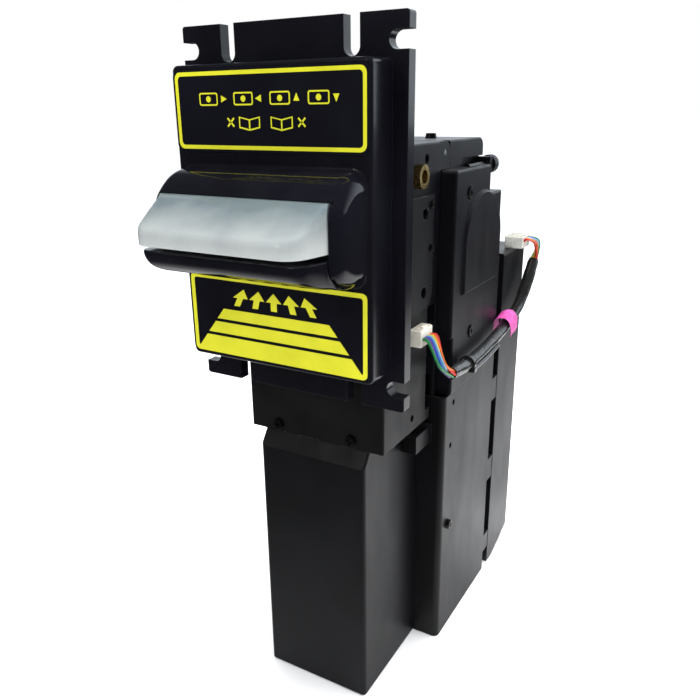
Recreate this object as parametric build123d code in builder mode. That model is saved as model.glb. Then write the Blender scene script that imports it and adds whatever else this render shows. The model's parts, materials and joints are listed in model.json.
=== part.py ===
from build123d import *
from math import acos, cos, pi, radians, sin, tan
import os

# Bill validator with a down-stacker.
# Millimetres. X is the width (right when facing the mouth), Y runs from the mouth back
# into the cabinet, Z is up. The origin is the centre of the flange's front face, the face
# that is clamped against the inside of the machine's door.

os.makedirs("parts", exist_ok=True)

# ------------------------------------------------------------------ driving dimensions
WALL = 2.0                # plastic wall of the housings
GAP = 0.2                 # air between neighbouring housings
RUN = 0.05                # radial running clearance of shafts in bores

# bezel
FLANGE_W = 104.0
FLANGE_H = 152.0
FLANGE_T = 5.4
PANEL_W = 91.0
PANEL_H = 120.4
PANEL_Y = -15.6           # front face of the raised panel
BEZEL_WALL = 2.4
EDGE_R = 0.8              # rounded outer edges of the housings
SLOT_W = 6.9              # open U slots in the top and bottom edges
SLOT_X = 28.75
SLOT_END = 61.5
NOTCH_H = 6.7             # open notches in the side edges
NOTCH_Z = 66.45
NOTCH_END = 44.0

# mouth
SNOUT_X = 43.5
SNOUT_Y = -37.0
MOUTH_X = 39.6            # opening in the snout for the lens and the jaw
MOUTH_TOP = 13.0
MOUTH_BOTTOM = -19.0
LENS_Y = -54.5
LENS_TIP_X = 36.3
JAW_Y = -50.5
LENS_X = 39.4
LENS_BACK = -22.0
LENS_TOP = 12.8
LENS_CROWN_Y = -35.0     # where the sloping top meets the brow
LENS_RIM = 1.0            # top of the upright rim at the tip, and beside the snout
LENS_SIDE_RIM = 7.0
JAW_X = 39.3
JAW_TIP_X = 35.5
BEZEL_SCREWS = ((-28.0, 20.0), (28.0, 20.0), (-28.0, -30.0), (28.0, -30.0))
BEZEL_SCREW_R = 1.3
BEZEL_SCREW_L = 9.0

# labels
LABEL_W = 89.4
LABEL_T = 0.3
UPPER_LABEL_Z = 43.0
UPPER_LABEL_H = 31.0
LOWER_LABEL_Z = -40.0
LOWER_LABEL_H = 38.0
CHIN_FOOT = -22.9         # where the rounded foot of the snout's chin ends on the panel

# bill path: straight through the head, then a quarter turn down
PATH_Z = -6.0
PATH_GAP = 2.4
PATH_TOP = PATH_Z + PATH_GAP / 2
PATH_FLOOR = PATH_Z - PATH_GAP / 2
TURN_Y = 100.0
TURN_Z = -46.0
TURN_R = PATH_Z - TURN_Z
PATH_Y = TURN_Y + TURN_R  # the vertical run in front of the door

# head
HEAD_X = 36.6
HEAD_Y = 5.8
HEAD_TOP = 28.9
HEAD_BOTTOM = -46.0
HEAD_BACK = 123.4
CHASSIS_BACK = 133.0
CHASSIS_BOTTOM = -95.0
WALL_TOP = 6.0            # top edge of the chassis side walls
LID_Y = 68.1              # seam between the fixed block and the hinged lid
LID_PIVOT = (73.0, 24.0)
LID_EDGE_R = HEAD_TOP - LID_PIVOT[1]
LID_PIVOT_X = 33.4        # half width of the lid between the hinge ears
BUSH = (42.1, 15.3)
BUSH_R = 5.2
BUSH_PROUD = 3.6
BUSH_SPIGOT_R = 4.0
BUSH_BORE_R = 3.0
INNER_X = 34.3            # half width of what sits between the chassis walls
LID_ROOM_X = 29.4
LID_PIN_R = 1.5
LID_SCREW = (16.8, 100.6)
LID_SCREW_R = 1.5
THUMB_X = 38.8
THUMB_Z = 15.2
THUMB_R = 4.7
THUMB_SHANK_R = 1.85
THUMB_HEAD_Y = (124.2, 129.8)
THUMB_TIP_Y = 95.0
POCKET_DEEP = 2.4         # how deep the screw shanks sit in the sides of the lid
PLATE_T = 1.2
PLATE_CORNER = 8.0
PLATE_HOLES = ((49.0, -1.5), (49.0, -37.5))
PLATE_HOLE_R = 2.75
PLATE_SCREWS = ((55.5, 2.0), (55.5, -18.0))
PLATE_SCREW_R = 1.0

# side covers
COVER_X = 44.6
COVER_Y = 68.0
COVER_TOP = 16.0
COVER_STEP_Y = 114.8      # the top edge drops here to the level of the chassis walls
PAD_Y = 105.0
PAD_R = 26.0
PAD_TOP = 4.2
PAD_BOTTOM = -45.0
PAD_PROUD = 1.5
COVER_SCREWS = ((85.5, 4.5), (94.0, -67.0))
COVER_SCREW_R = 1.4

# feed train
SHAFT_R = 2.5
PULLEY_R = 6.5
BELT_T = 1.38
BELT_X = 18.0
BELT_W = 9.0
FEED_Z = PATH_FLOOR + 0.1 - PULLEY_R - BELT_T
FRONT_SHAFT_Y = 24.0
REAR_SHAFT_Y = 92.0
PINCH_R = 5.0
PINCH_Z = PATH_FLOOR + 0.25 + PINCH_R
PINCH_AXLE_R = 1.5
TRAIN_MODULE = 0.8
REAR_TEETH = 24
IDLER_TEETH = 47
MOTOR_TEETH = 14
TRAIN_ANGLE = -67.8       # direction from the rear shaft to the motor, in the YZ plane
MESH_SLACK = 0.05
TRAIN_X = 38.0            # inner face of the gears
TRAIN_W = 4.0
IDLER_AXLE_R = 2.0
MOTOR_SHAFT_R = 1.2

# lower bracket
BRACKET_Y = 11.7
BRACKET_BACK = 56.4
BRACKET_FOOT = 61.5
BRACKET_BOTTOM = -104.8
BRACKET_WALL = 1.5
BRACKET_SCREW_X = (-20.0, 20.0)
BRACKET_SCREW_Z = -100.8
BRACKET_SCREW_R = 1.3

# stacker
BOX_X = 28.9
BOX_Y = 7.5
BOX_TOP = -105.0
STACKER_X = 43.4
STACKER_Y = 65.5
STACKER_BACK = 139.0
STACKER_TOP = -95.5
STACKER_BOTTOM = -241.5
RISER_TOP = -36.0
DOOR_Y = 148.0
DOOR_BACK = 188.0
DOOR_INNER_Y = 141.6
WINDOW_X = 26.0
WINDOW_TOP = -100.0
WINDOW_BOTTOM = -234.0
HINGE = (-40.2, 143.5)
KNUCKLE_R = 3.2
PIN_R = 1.5
KNUCKLE_STEP = 9.0
DOOR_GUIDE_X = (-36.0, 39.4)
SIDE_HOLES = ((77.6, -101.4), (75.3, -125.2))
STACKER_SCREW = (75.6, -172.9)
STACKER_SCREW_R = 1.3
TAB_RANGES = ((-123.8, -109.6), (-177.6, -163.0), (-229.4, -217.5))

# pusher
PUSHER_Y = 144.2
PUSHER_T = 2.4
PUSHER_X = 24.0
PUSHER_SHAFT = (162.0, -143.0)
RACK_X = 15.0
RACK_W = 4.0
RACK_MODULE = 1.0
PINION_TEETH = 12
PUSHER_GEAR_TEETH = 36
PUSHER_MOTOR_TEETH = 12
GEAR_MODULE = 0.8
PUSHER_SHAFT_R = 2.0
PUSHER_GEAR_X = 26.4
BEARING_X = 21.0
STACK_ANGLE = 68.0        # direction from the pusher shaft to its motor, in the YZ plane
STACK_REACH = GEAR_MODULE * (PUSHER_GEAR_TEETH + PUSHER_MOTOR_TEETH) / 2 + 0.05
STACK_MOTOR = (
    PUSHER_SHAFT[0] + STACK_REACH * cos(radians(STACK_ANGLE)),
    PUSHER_SHAFT[1] + STACK_REACH * sin(radians(STACK_ANGLE)),
)
RACK_END = 182.0

# pressure plate
PLATE_BACK = 136.4
PLATE_DISH = 129.8
SPRING_R = 8.0
SPRING_WIRE = 0.7
SPRING_TURNS = 12
SPRING_Z = (-150.0, -205.0)

# harness
HARNESS_X = 49.3
SLEEVE_R = 3.5
WIRE_R = 0.65
WIRE_COUNT = 7
WIRE_STEP = 1.5
WIRE_RING = [(0.0, 0.0)] + [
    (1.7 * cos(radians(60 * k)), 1.7 * sin(radians(60 * k))) for k in range(WIRE_COUNT - 1)
]
PLUG_LOW = (36.8, 36.0, -60.0)
PLUG_HIGH = (43.0, 48.5, -52.0)
REAR_PLUG_LOW = (37.0, 166.0, RISER_TOP + 0.2)
REAR_PLUG_HIGH = (48.0, 180.0, RISER_TOP + 7.0)
SLEEVE_RUN = (
    (HARNESS_X, 58, -78), (HARNESS_X, 80, -80), (HARNESS_X, 110, -78.8), (HARNESS_X, 140, -74.6),
    (HARNESS_X + 0.3, 159, -69), (HARNESS_X + 0.6, 170.5, -60.5), (HARNESS_X + 1, 177, -52.5),
    (HARNESS_X + 1, 184, -45.5),
)
TIE_AT = 0.17
FLAG_AT = 0.62
FRONT_WIRES = ((PLUG_HIGH[0] + 0.8, 42.25, -56.0), (50.0, 45.0, -70.0), (HARNESS_X, 57.3, -78.0))
REAR_WIRES = (
    (REAR_PLUG_HIGH[0] + 0.8, 173.0, -32.0), (53.0, 185.0, -35.5), (HARNESS_X + 1, 184.8, -44.6),
)
TIE_R = SLEEVE_R + 1.1
TAPE_R = SLEEVE_R + 0.9
WRAP_AIR = 0.35           # between the curved sleeve and what is wrapped straight round it
TAPE_W = 10.0
TAPE_TAIL = 7.0

PRESSURE = radians(20)
ADDENDUM = 0.92
DEDENDUM = 1.2
BACKLASH = 0.14


# ------------------------------------------------------------------ planes and shared shapes
def front(y):
    """Plane at depth y facing the user: its axes are X and Z, and it extrudes towards -Y."""
    return Plane.XZ.offset(-y)


def side(x):
    """Plane at width x facing right: its axes are Y and Z, and it extrudes towards +X."""
    return Plane.YZ.offset(x)


def block(low, high, mode=Mode.ADD):
    """Box between two corners."""
    with Locations(tuple((a + b) / 2 for a, b in zip(low, high))):
        Box(*(b - a for a, b in zip(low, high)), mode=mode)


def rod(plane, at, radius, length, mode=Mode.ADD):
    """Round bar, or hole, standing on a plane."""
    with BuildSketch(plane, mode=Mode.PRIVATE) as disc:
        with Locations(at):
            Circle(radius)
    extrude(disc.sketch, amount=length, mode=mode)


def beam(points, half_width, mode=Mode.ADD):
    """A straight-sided YZ outline carried across the width, centred on X = 0."""
    with BuildSketch(Plane.YZ, mode=Mode.PRIVATE) as profile:
        Polygon(*points, align=None)
    extrude(profile.sketch, amount=half_width, both=True, mode=mode)


def screw(plane, at, head_r, head_h, shank_r, shank_l):
    """Pan-head cross screw whose head sits on the plane."""
    with BuildSketch(plane, mode=Mode.PRIVATE) as disc:
        with Locations(at):
            Circle(head_r)
    extrude(disc.sketch, amount=head_h, taper=12)
    rod(plane, at, shank_r, -shank_l)
    with BuildSketch(plane.offset(head_h * 0.4), mode=Mode.PRIVATE) as cross:
        with Locations(at):
            Rectangle(head_r * 1.2, head_r * 0.3)
            Rectangle(head_r * 0.3, head_r * 1.2)
    extrude(cross.sketch, amount=head_h, mode=Mode.SUBTRACT)


def involute(angle):
    return tan(angle) - angle


def gear_points(teeth, module, start):
    """Corners of an involute spur gear, with one tooth pointing at start degrees."""
    pitch_r = module * teeth / 2
    base_r = pitch_r * cos(PRESSURE)
    tip_r = pitch_r + ADDENDUM * module
    root_r = pitch_r - DEDENDUM * module
    flank_low = max(base_r, root_r + 0.05)
    half_pitch = pi / (2 * teeth) - BACKLASH / (2 * pitch_r)
    steps = 4
    flank = []
    for i in range(steps + 1):
        r = flank_low + (tip_r - flank_low) * i / steps
        flank.append((r, half_pitch + involute(PRESSURE) - involute(acos(base_r / r))))
    flank.insert(0, (root_r, flank[0][1]))
    points = []
    for k in range(teeth):
        centre = radians(start) + 2 * pi * k / teeth
        tooth = [(r, centre - a) for r, a in flank] + [(r, centre + a) for r, a in reversed(flank)]
        points += [(r * cos(a), r * sin(a)) for r, a in tooth]
    return points


def spur_gear(plane, at, teeth, module, start, width, bore_r):
    """Spur gear of the given width standing on a plane."""
    with BuildSketch(plane, mode=Mode.PRIVATE) as gear:
        with Locations(at):
            Polygon(*gear_points(teeth, module, start), align=None)
            Circle(bore_r, mode=Mode.SUBTRACT)
    extrude(gear.sketch, amount=width)


def mesh_start(direction, start, teeth, next_teeth):
    """Angle of the next gear's first tooth, so that it meshes with a gear already placed."""
    phase = ((direction - start) * teeth / 360) % 1
    return direction + 180 + (phase + 0.5) * 360 / next_teeth


# ------------------------------------------------------------------ bezel and mouth
with BuildPart() as bezel:
    with BuildSketch(front(0)):
        RectangleRounded(FLANGE_W, FLANGE_H, 1.2)
        with GridLocations(2 * SLOT_X, FLANGE_H, 2, 2):
            SlotOverall(FLANGE_H - 2 * SLOT_END, SLOT_W, rotation=90, mode=Mode.SUBTRACT)
        with GridLocations(FLANGE_W, 2 * NOTCH_Z, 2, 2):
            SlotOverall(FLANGE_W - 2 * NOTCH_END, NOTCH_H, mode=Mode.SUBTRACT)
    extrude(amount=-FLANGE_T)
    with BuildSketch(front(0)):
        RectangleRounded(PANEL_W, PANEL_H, 2.5)
    extrude(amount=-PANEL_Y)
    fillet(faces().sort_by(Axis.Y)[0].edges(), 1.4)
    # the snout: a brow on top, a blunt front and a rounded chin, with round cheeks
    with BuildSketch(Plane.YZ):
        with BuildLine():
            brow = Spline(
                (PANEL_Y + 1.4, 22), (-27, 19.4), (-34.4, 13.4), (SNOUT_Y, 5),
                tangents=((-1, -0.12), (0, -1)),
            )
            blunt = Line(brow @ 1, (SNOUT_Y, -8))
            chin = Spline(
                blunt @ 1, (-34, -15.6), (-26, -19.8), (PANEL_Y + 1.4, -21.4),
                tangents=((0, -1), (1, -0.12)),
            )
            Line(chin @ 1, brow @ 0)
        make_face()
    extrude(amount=SNOUT_X, both=True)
    snout_ends = [f for f in faces().filter_by(Axis.X) if f.center().Y < PANEL_Y - 4]
    fillet([e for f in snout_ends for e in f.edges() if e.center().Y < PANEL_Y - 1], 6.5)
    foot = [
        e for e in edges().filter_by_position(Axis.Y, PANEL_Y - 0.05, PANEL_Y + 0.05)
        if abs(e.center().X) < SNOUT_X + 1 and abs(e.center().Z) < 25
    ]
    fillet(foot, 1.2)
    # hollow back
    with BuildSketch(front(FLANGE_T)):
        RectangleRounded(PANEL_W - 2 * BEZEL_WALL, PANEL_H - 2 * BEZEL_WALL, 1.5)
    extrude(amount=FLANGE_T - PANEL_Y - BEZEL_WALL, mode=Mode.SUBTRACT)
    block((-40.4, SNOUT_Y + BEZEL_WALL, MOUTH_BOTTOM), (40.4, 0, MOUTH_TOP), Mode.SUBTRACT)
    block((-MOUTH_X, SNOUT_Y - 3, MOUTH_BOTTOM), (MOUTH_X, 0, MOUTH_TOP), Mode.SUBTRACT)
    # bosses that take the bezel screws
    for x, z in BEZEL_SCREWS:
        rod(front(HEAD_Y - GAP), (x, z), 3.4, HEAD_Y - GAP - PANEL_Y - 1)
        rod(front(HEAD_Y), (x, z), BEZEL_SCREW_R, BEZEL_SCREW_L - WALL, Mode.SUBTRACT)
bezel.part.label = "bezel"
export_step(bezel.part, "parts/bezel.step")

with BuildPart() as mouth_lens:
    # plan view: straight sides that taper to a narrower front edge
    with BuildSketch(Plane.XY.offset(-10)):
        Polygon(
            (-LENS_X, LENS_BACK), (-LENS_X, SNOUT_Y + 1), (-LENS_TIP_X, LENS_Y),
            (LENS_TIP_X, LENS_Y), (LENS_X, SNOUT_Y + 1), (LENS_X, LENS_BACK), align=None,
        )
    extrude(amount=30)
    fillet([e for e in edges().filter_by(Axis.Z) if e.center().Y < LENS_Y + 1], 5)
    with BuildSketch(Plane.YZ):
        Polygon(
            (LENS_BACK, LENS_TOP), (LENS_CROWN_Y, LENS_TOP), (LENS_Y + 0.8, LENS_RIM + 0.7),
            (LENS_Y, LENS_RIM - 0.4), (LENS_Y, PATH_TOP), (LENS_BACK, PATH_TOP), align=None,
        )
    extrude(amount=LENS_X, both=True, mode=Mode.INTERSECT)
    # the sloping top falls away towards each front corner
    for sign in (-1, 1):
        tip = Vector(sign * LENS_TIP_X, LENS_Y, LENS_RIM)
        rim = Vector(sign * LENS_X, SNOUT_Y, LENS_SIDE_RIM)
        crown = Vector(sign * (LENS_TIP_X - 3), LENS_CROWN_Y, LENS_TOP)
        outward = (rim - tip).cross(crown - tip) * sign
        split(bisect_by=Plane(origin=tip, z_dir=outward), keep=Keep.BOTTOM)
    # hollow, open to the back, for the light board
    with BuildSketch(Plane.XY.offset(PATH_TOP + 1.2)):
        Polygon(
            (-LENS_X + WALL, LENS_BACK + 1), (-LENS_X + WALL, SNOUT_Y + 0.6),
            (-LENS_TIP_X + 1.6, LENS_Y + WALL), (LENS_TIP_X - 1.6, LENS_Y + WALL),
            (LENS_X - WALL, SNOUT_Y + 0.6), (LENS_X - WALL, LENS_BACK + 1), align=None,
        )
    extrude(amount=3.0, mode=Mode.SUBTRACT)
    beam(
        ((LENS_BACK + 1, LENS_TOP - WALL), (LENS_CROWN_Y + 0.6, LENS_TOP - WALL), (LENS_Y + 5, 1.2),
         (LENS_Y + 5, PATH_TOP + 1.2), (LENS_BACK + 1, PATH_TOP + 1.2)),
        LENS_TIP_X - 5, Mode.SUBTRACT,
    )
mouth_lens.part.label = "mouth_lens"
export_step(mouth_lens.part, "parts/mouth_lens.step")

with BuildPart() as lower_jaw:
    with BuildSketch(Plane.XY.offset(MOUTH_BOTTOM)):
        Polygon(
            (-JAW_X, LENS_BACK), (-JAW_X, SNOUT_Y - 2), (-JAW_TIP_X, JAW_Y),
            (JAW_TIP_X, JAW_Y), (JAW_X, SNOUT_Y - 2), (JAW_X, LENS_BACK), align=None,
        )
    extrude(amount=20)
    fillet([e for e in edges().filter_by(Axis.Z) if e.center().Y < SNOUT_Y - 1], 5)
    with BuildSketch(Plane.YZ):
        with BuildLine():
            lip = Line((LENS_BACK, PATH_FLOOR), (JAW_Y, PATH_FLOOR))
            belly = Spline(
                lip @ 1, (JAW_Y + 2.2, PATH_FLOOR - 4.2), (-41, -15.6), (-30, MOUTH_BOTTOM + 0.3),
                tangents=((0, -1), (1, -0.15)),
            )
            keel = Line(belly @ 1, (LENS_BACK, MOUTH_BOTTOM + 0.3))
            Line(keel @ 1, lip @ 0)
        make_face()
    extrude(amount=JAW_X, both=True, mode=Mode.INTERSECT)
    block((-JAW_TIP_X + 2, -40, MOUTH_BOTTOM + 3), (JAW_TIP_X - 2, LENS_BACK + 1, PATH_FLOOR - WALL),
          Mode.SUBTRACT)
lower_jaw.part.label = "lower_jaw"
export_step(lower_jaw.part, "parts/lower_jaw.step")

with BuildPart() as led_board:
    block((-28, -44, -1.0), (28, -24, 0.6))
    with BuildSketch(Plane.XY.offset(0.6)):
        with GridLocations(11, 9, 5, 1):
            with Locations((0, -34)):
                Rectangle(3.5, 2.8)
    extrude(amount=1.2)
led_board.part.label = "led_board"
export_step(led_board.part, "parts/led_board.step")

with BuildPart() as upper_label:
    with BuildSketch(front(PANEL_Y)):
        with Locations((0, UPPER_LABEL_Z)):
            RectangleRounded(LABEL_W, UPPER_LABEL_H, 3)
    extrude(amount=LABEL_T)
upper_label.part.label = "upper_label"
export_step(upper_label.part, "parts/upper_label.step")

with BuildPart() as lower_label:
    with BuildSketch(front(PANEL_Y)):
        with Locations((0, LOWER_LABEL_Z)):
            RectangleRounded(LABEL_W, LOWER_LABEL_H, 3)
    extrude(amount=LABEL_T)
    # the chin of the snout overlaps the label's top edge, so the film is cut round it
    block((-LABEL_W / 2, SNOUT_Y, CHIN_FOOT), (LABEL_W / 2, 0, 0), Mode.SUBTRACT)
lower_label.part.label = "lower_label"
export_step(lower_label.part, "parts/lower_label.step")

with BuildPart() as bezel_screws:
    for x, z in BEZEL_SCREWS:
        screw(Plane.XZ.offset(-HEAD_Y - WALL).rotated((180, 0, 0)), (x, -z), 2.6, 1.8,
              BEZEL_SCREW_R, BEZEL_SCREW_L)
bezel_screws.part.label = "bezel_screws"
export_step(bezel_screws.part, "parts/bezel_screws.step")

# ------------------------------------------------------------------ head: fixed block and lid
with BuildPart() as upper_guide:
    block((-HEAD_X, HEAD_Y, WALL_TOP + 0.1), (HEAD_X, LID_Y - 0.3, HEAD_TOP))
    fillet(edges().filter_by(Axis.X).group_by(Axis.Z)[-1].sort_by(Axis.Y)[0], EDGE_R)
    fillet(edges().filter_by(Axis.Y).group_by(Axis.Z)[-1], EDGE_R)
    block((-INNER_X, HEAD_Y, PATH_TOP), (INNER_X, LID_Y - 0.3, WALL_TOP + 0.1))
    # hinge ears that reach back past the seam, one on each side
    for x in (-HEAD_X, LID_PIVOT_X + GAP):
        with BuildSketch(side(x)):
            with Locations(LID_PIVOT):
                Circle(LID_EDGE_R)
            Polygon(
                (LID_Y - 1, COVER_TOP + 0.2), (LID_PIVOT[0] + LID_EDGE_R, COVER_TOP + 0.2),
                (LID_PIVOT[0] + LID_EDGE_R, LID_PIVOT[1]), (LID_PIVOT[0], HEAD_TOP),
                (LID_Y - 1, HEAD_TOP), align=None,
            )
        extrude(amount=HEAD_X - LID_PIVOT_X - GAP)
    block((-INNER_X + WALL, HEAD_Y + WALL, PATH_TOP + 1.6),
          (INNER_X - WALL, LID_Y - 2.3, HEAD_TOP - WALL), Mode.SUBTRACT)
    # windows over the pinch rollers and the magnetic head
    for x in (-BELT_X, BELT_X):
        block((x - 5.5, FRONT_SHAFT_Y - 6, PATH_TOP - 1), (x + 5.5, FRONT_SHAFT_Y + 6, PATH_TOP + 3),
              Mode.SUBTRACT)
    block((-7.2, 40.8, PATH_TOP - 1), (7.2, 49.2, PATH_TOP + 3), Mode.SUBTRACT)
    # ribs that carry the pinch axle
    for x in (-29, 27):
        block((x, FRONT_SHAFT_Y - 4, PATH_TOP + 1), (x + 2, FRONT_SHAFT_Y + 4, 3))
    rod(side(-30), (FRONT_SHAFT_Y, PINCH_Z), PINCH_AXLE_R + RUN, 60, Mode.SUBTRACT)
    rod(side(-HEAD_X - 1), LID_PIVOT, LID_PIN_R + 0.02, 2 * HEAD_X + 2, Mode.SUBTRACT)
    rod(side(-HEAD_X - 1), BUSH, BUSH_SPIGOT_R, 2 * HEAD_X + 2, Mode.SUBTRACT)
    # small sensor window behind each bush
    rod(side(-HEAD_X - 1), (52, 22), 2.2, 2 * HEAD_X + 2, Mode.SUBTRACT)
    for x, z in BEZEL_SCREWS[:2]:
        rod(front(HEAD_Y + 3), (x, z), BEZEL_SCREW_R, 4, Mode.SUBTRACT)
upper_guide.part.label = "upper_guide"
export_step(upper_guide.part, "parts/upper_guide.step")

with BuildPart() as top_cover:
    # outside, rounded about the hinge pin in front and softly at the back
    with BuildSketch(Plane.YZ):
        with BuildLine():
            nose = RadiusArc((LID_Y, LID_PIVOT[1]), (LID_PIVOT[0], HEAD_TOP), LID_EDGE_R)
            top = Line(nose @ 1, (HEAD_BACK - LID_EDGE_R, HEAD_TOP))
            back = RadiusArc(top @ 1, (HEAD_BACK, HEAD_TOP - LID_EDGE_R), LID_EDGE_R)
            Polyline(
                back @ 1, (HEAD_BACK, WALL_TOP + 0.1), (LID_Y + 4, WALL_TOP + 0.1),
                (LID_Y, WALL_TOP + 4.1), nose @ 0,
            )
        make_face()
    extrude(amount=HEAD_X, both=True)
    lid_ends = faces().filter_by(Axis.X)
    fillet([e for f in lid_ends for e in f.edges() if e.center().Z > WALL_TOP + 3], EDGE_R)
    # the part between the chassis walls: flat path roof, then the outer guide of the turn
    with BuildSketch(Plane.YZ):
        Polygon((LID_Y, -20), (HEAD_BACK, -20), (HEAD_BACK, WALL_TOP + 0.2),
                (LID_Y, WALL_TOP + 0.2), align=None)
        with Locations((TURN_Y, TURN_Z)):
            Circle(TURN_R + PATH_GAP / 2, mode=Mode.SUBTRACT)
        Polygon((LID_Y - 1, -21), (TURN_Y, -21), (TURN_Y, PATH_TOP), (LID_Y - 1, PATH_TOP),
                align=None, mode=Mode.SUBTRACT)
    extrude(amount=INNER_X, both=True)
    with BuildSketch(Plane.YZ):
        with Locations((TURN_Y, TURN_Z)):
            Circle(TURN_R + PATH_GAP / 2 + WALL + 0.4)
            Circle(TURN_R + PATH_GAP / 2, mode=Mode.SUBTRACT)
        Polygon((HEAD_BACK - 1, -27), (140, -27), (140, 0), (HEAD_BACK - 1, 0), align=None,
                mode=Mode.INTERSECT)
    extrude(amount=INNER_X, both=True)
    # clearance for the hinge ears
    ear_back = LID_PIVOT[0] + LID_EDGE_R + 0.3
    for low, high in ((-HEAD_X - 1, -LID_PIVOT_X), (LID_PIVOT_X, HEAD_X + 1)):
        block((low, LID_Y - 1, WALL_TOP - 0.5), (high, ear_back, HEAD_TOP + 1), Mode.SUBTRACT)
    block((-LID_ROOM_X, LID_Y + WALL, PATH_TOP + 1.6),
          (LID_ROOM_X, HEAD_BACK - WALL, HEAD_TOP - WALL), Mode.SUBTRACT)
    for x in (-BELT_X, BELT_X):
        block((x - 5.5, REAR_SHAFT_Y - 6, PATH_TOP - 1), (x + 5.5, REAR_SHAFT_Y + 6, PATH_TOP + 3),
              Mode.SUBTRACT)
    for x in (-28.5, 26.5):
        block((x, REAR_SHAFT_Y - 4, PATH_TOP + 1), (x + 2, REAR_SHAFT_Y + 4, 3))
    rod(side(-29), (REAR_SHAFT_Y, PINCH_Z), PINCH_AXLE_R + RUN, 58, Mode.SUBTRACT)
    rod(side(-HEAD_X), LID_PIVOT, LID_PIN_R + RUN, 2 * HEAD_X, Mode.SUBTRACT)
    # side pockets for the shanks of the thumb screws, and the lugs that carry them
    for x in (-HEAD_X, HEAD_X):
        block((x - POCKET_DEEP, THUMB_TIP_Y - 1.5, THUMB_Z - THUMB_R),
              (x + POCKET_DEEP, HEAD_BACK + 1, THUMB_Z + THUMB_R), Mode.SUBTRACT)
    lug_in, lug_out = HEAD_X - POCKET_DEEP - 0.5, THUMB_X + 3.2
    for low, high in ((-lug_out, -lug_in), (lug_in, lug_out)):
        block((low, HEAD_BACK - 4.4, THUMB_Z - 4), (high, HEAD_BACK, THUMB_Z + 4))
    for x in (-THUMB_X, THUMB_X):
        rod(front(HEAD_BACK + 1), (x, THUMB_Z), THUMB_SHANK_R + RUN, 8, Mode.SUBTRACT)
    for x in (-LID_SCREW[0], LID_SCREW[0]):
        rod(Plane.XY.offset(HEAD_TOP), (x, LID_SCREW[1]), LID_SCREW_R, -WALL - 1, Mode.SUBTRACT)
top_cover.part.label = "top_cover"
export_step(top_cover.part, "parts/top_cover.step")

with BuildPart() as lid_hinge_pin:
    rod(side(-HEAD_X + 0.2), LID_PIVOT, LID_PIN_R, 2 * HEAD_X - 0.4)
lid_hinge_pin.part.label = "lid_hinge_pin"
export_step(lid_hinge_pin.part, "parts/lid_hinge_pin.step")

with BuildPart() as top_cover_screws:
    for x in (-LID_SCREW[0], LID_SCREW[0]):
        screw(Plane.XY.offset(HEAD_TOP), (x, LID_SCREW[1]), 3.0, 2.4, LID_SCREW_R, 5)
top_cover_screws.part.label = "top_cover_screws"
export_step(top_cover_screws.part, "parts/top_cover_screws.step")


# ------------------------------------------------------------------ knurled brass and thumb screws
def knurled_face(radius, ridges, depth):
    """Outline of a straight-knurled knob."""
    points = []
    for k in range(ridges):
        for step, r in ((0, radius), (0.35, radius), (0.5, radius - depth), (0.85, radius - depth)):
            a = 2 * pi * (k + step) / ridges
            points.append((r * cos(a), r * sin(a)))
    return points


with BuildPart() as locating_bushes:
    for plane, sign in ((side(HEAD_X), 1), (side(-HEAD_X), -1)):
        with BuildSketch(plane):
            with Locations(BUSH):
                Polygon(*knurled_face(BUSH_R, 24, 0.35), align=None)
        extrude(amount=sign * BUSH_PROUD)
        rod(plane, BUSH, BUSH_SPIGOT_R, -sign * (HEAD_X - INNER_X + WALL))
        rod(plane.offset(sign * (BUSH_PROUD + 1)), BUSH, BUSH_BORE_R, -sign * 16, Mode.SUBTRACT)
locating_bushes.part.label = "locating_bushes"
export_step(locating_bushes.part, "parts/locating_bushes.step")


def thumb_screw(x):
    """Long shank in front, knurled head behind, a collar that stays captive in the lug."""
    with BuildSketch(front(THUMB_HEAD_Y[1]), mode=Mode.PRIVATE) as knob:
        with Locations((x, THUMB_Z)):
            Polygon(*knurled_face(THUMB_R, 28, 0.4), align=None)
    extrude(knob.sketch, amount=THUMB_HEAD_Y[1] - THUMB_HEAD_Y[0])
    rod(front(THUMB_HEAD_Y[1]), (x, THUMB_Z), THUMB_SHANK_R, THUMB_HEAD_Y[1] - THUMB_TIP_Y)
    rod(front(HEAD_BACK - 4.6), (x, THUMB_Z), THUMB_SHANK_R + 0.9, 1.2)
    rod(front(THUMB_HEAD_Y[1]), (x, THUMB_Z), 2.2, 1.5, Mode.SUBTRACT)


with BuildPart() as thumb_screw_right:
    thumb_screw(THUMB_X)
thumb_screw_right.part.label = "thumb_screw_right"
export_step(thumb_screw_right.part, "parts/thumb_screw_right.step")

with BuildPart() as thumb_screw_left:
    thumb_screw(-THUMB_X)
thumb_screw_left.part.label = "thumb_screw_left"
export_step(thumb_screw_left.part, "parts/thumb_screw_left.step")

# ------------------------------------------------------------------ head: chassis
REAR_SHAFT = (REAR_SHAFT_Y, FEED_Z)
TRAIN_DIRECTION = Vector(cos(radians(TRAIN_ANGLE)), sin(radians(TRAIN_ANGLE)))
IDLER_REACH = TRAIN_MODULE * (REAR_TEETH + IDLER_TEETH) / 2 + MESH_SLACK
MOTOR_REACH = IDLER_REACH + TRAIN_MODULE * (IDLER_TEETH + MOTOR_TEETH) / 2 + MESH_SLACK
IDLER = (REAR_SHAFT_Y + TRAIN_DIRECTION.X * IDLER_REACH, FEED_Z + TRAIN_DIRECTION.Y * IDLER_REACH)
MOTOR = (REAR_SHAFT_Y + TRAIN_DIRECTION.X * MOTOR_REACH, FEED_Z + TRAIN_DIRECTION.Y * MOTOR_REACH)

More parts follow.
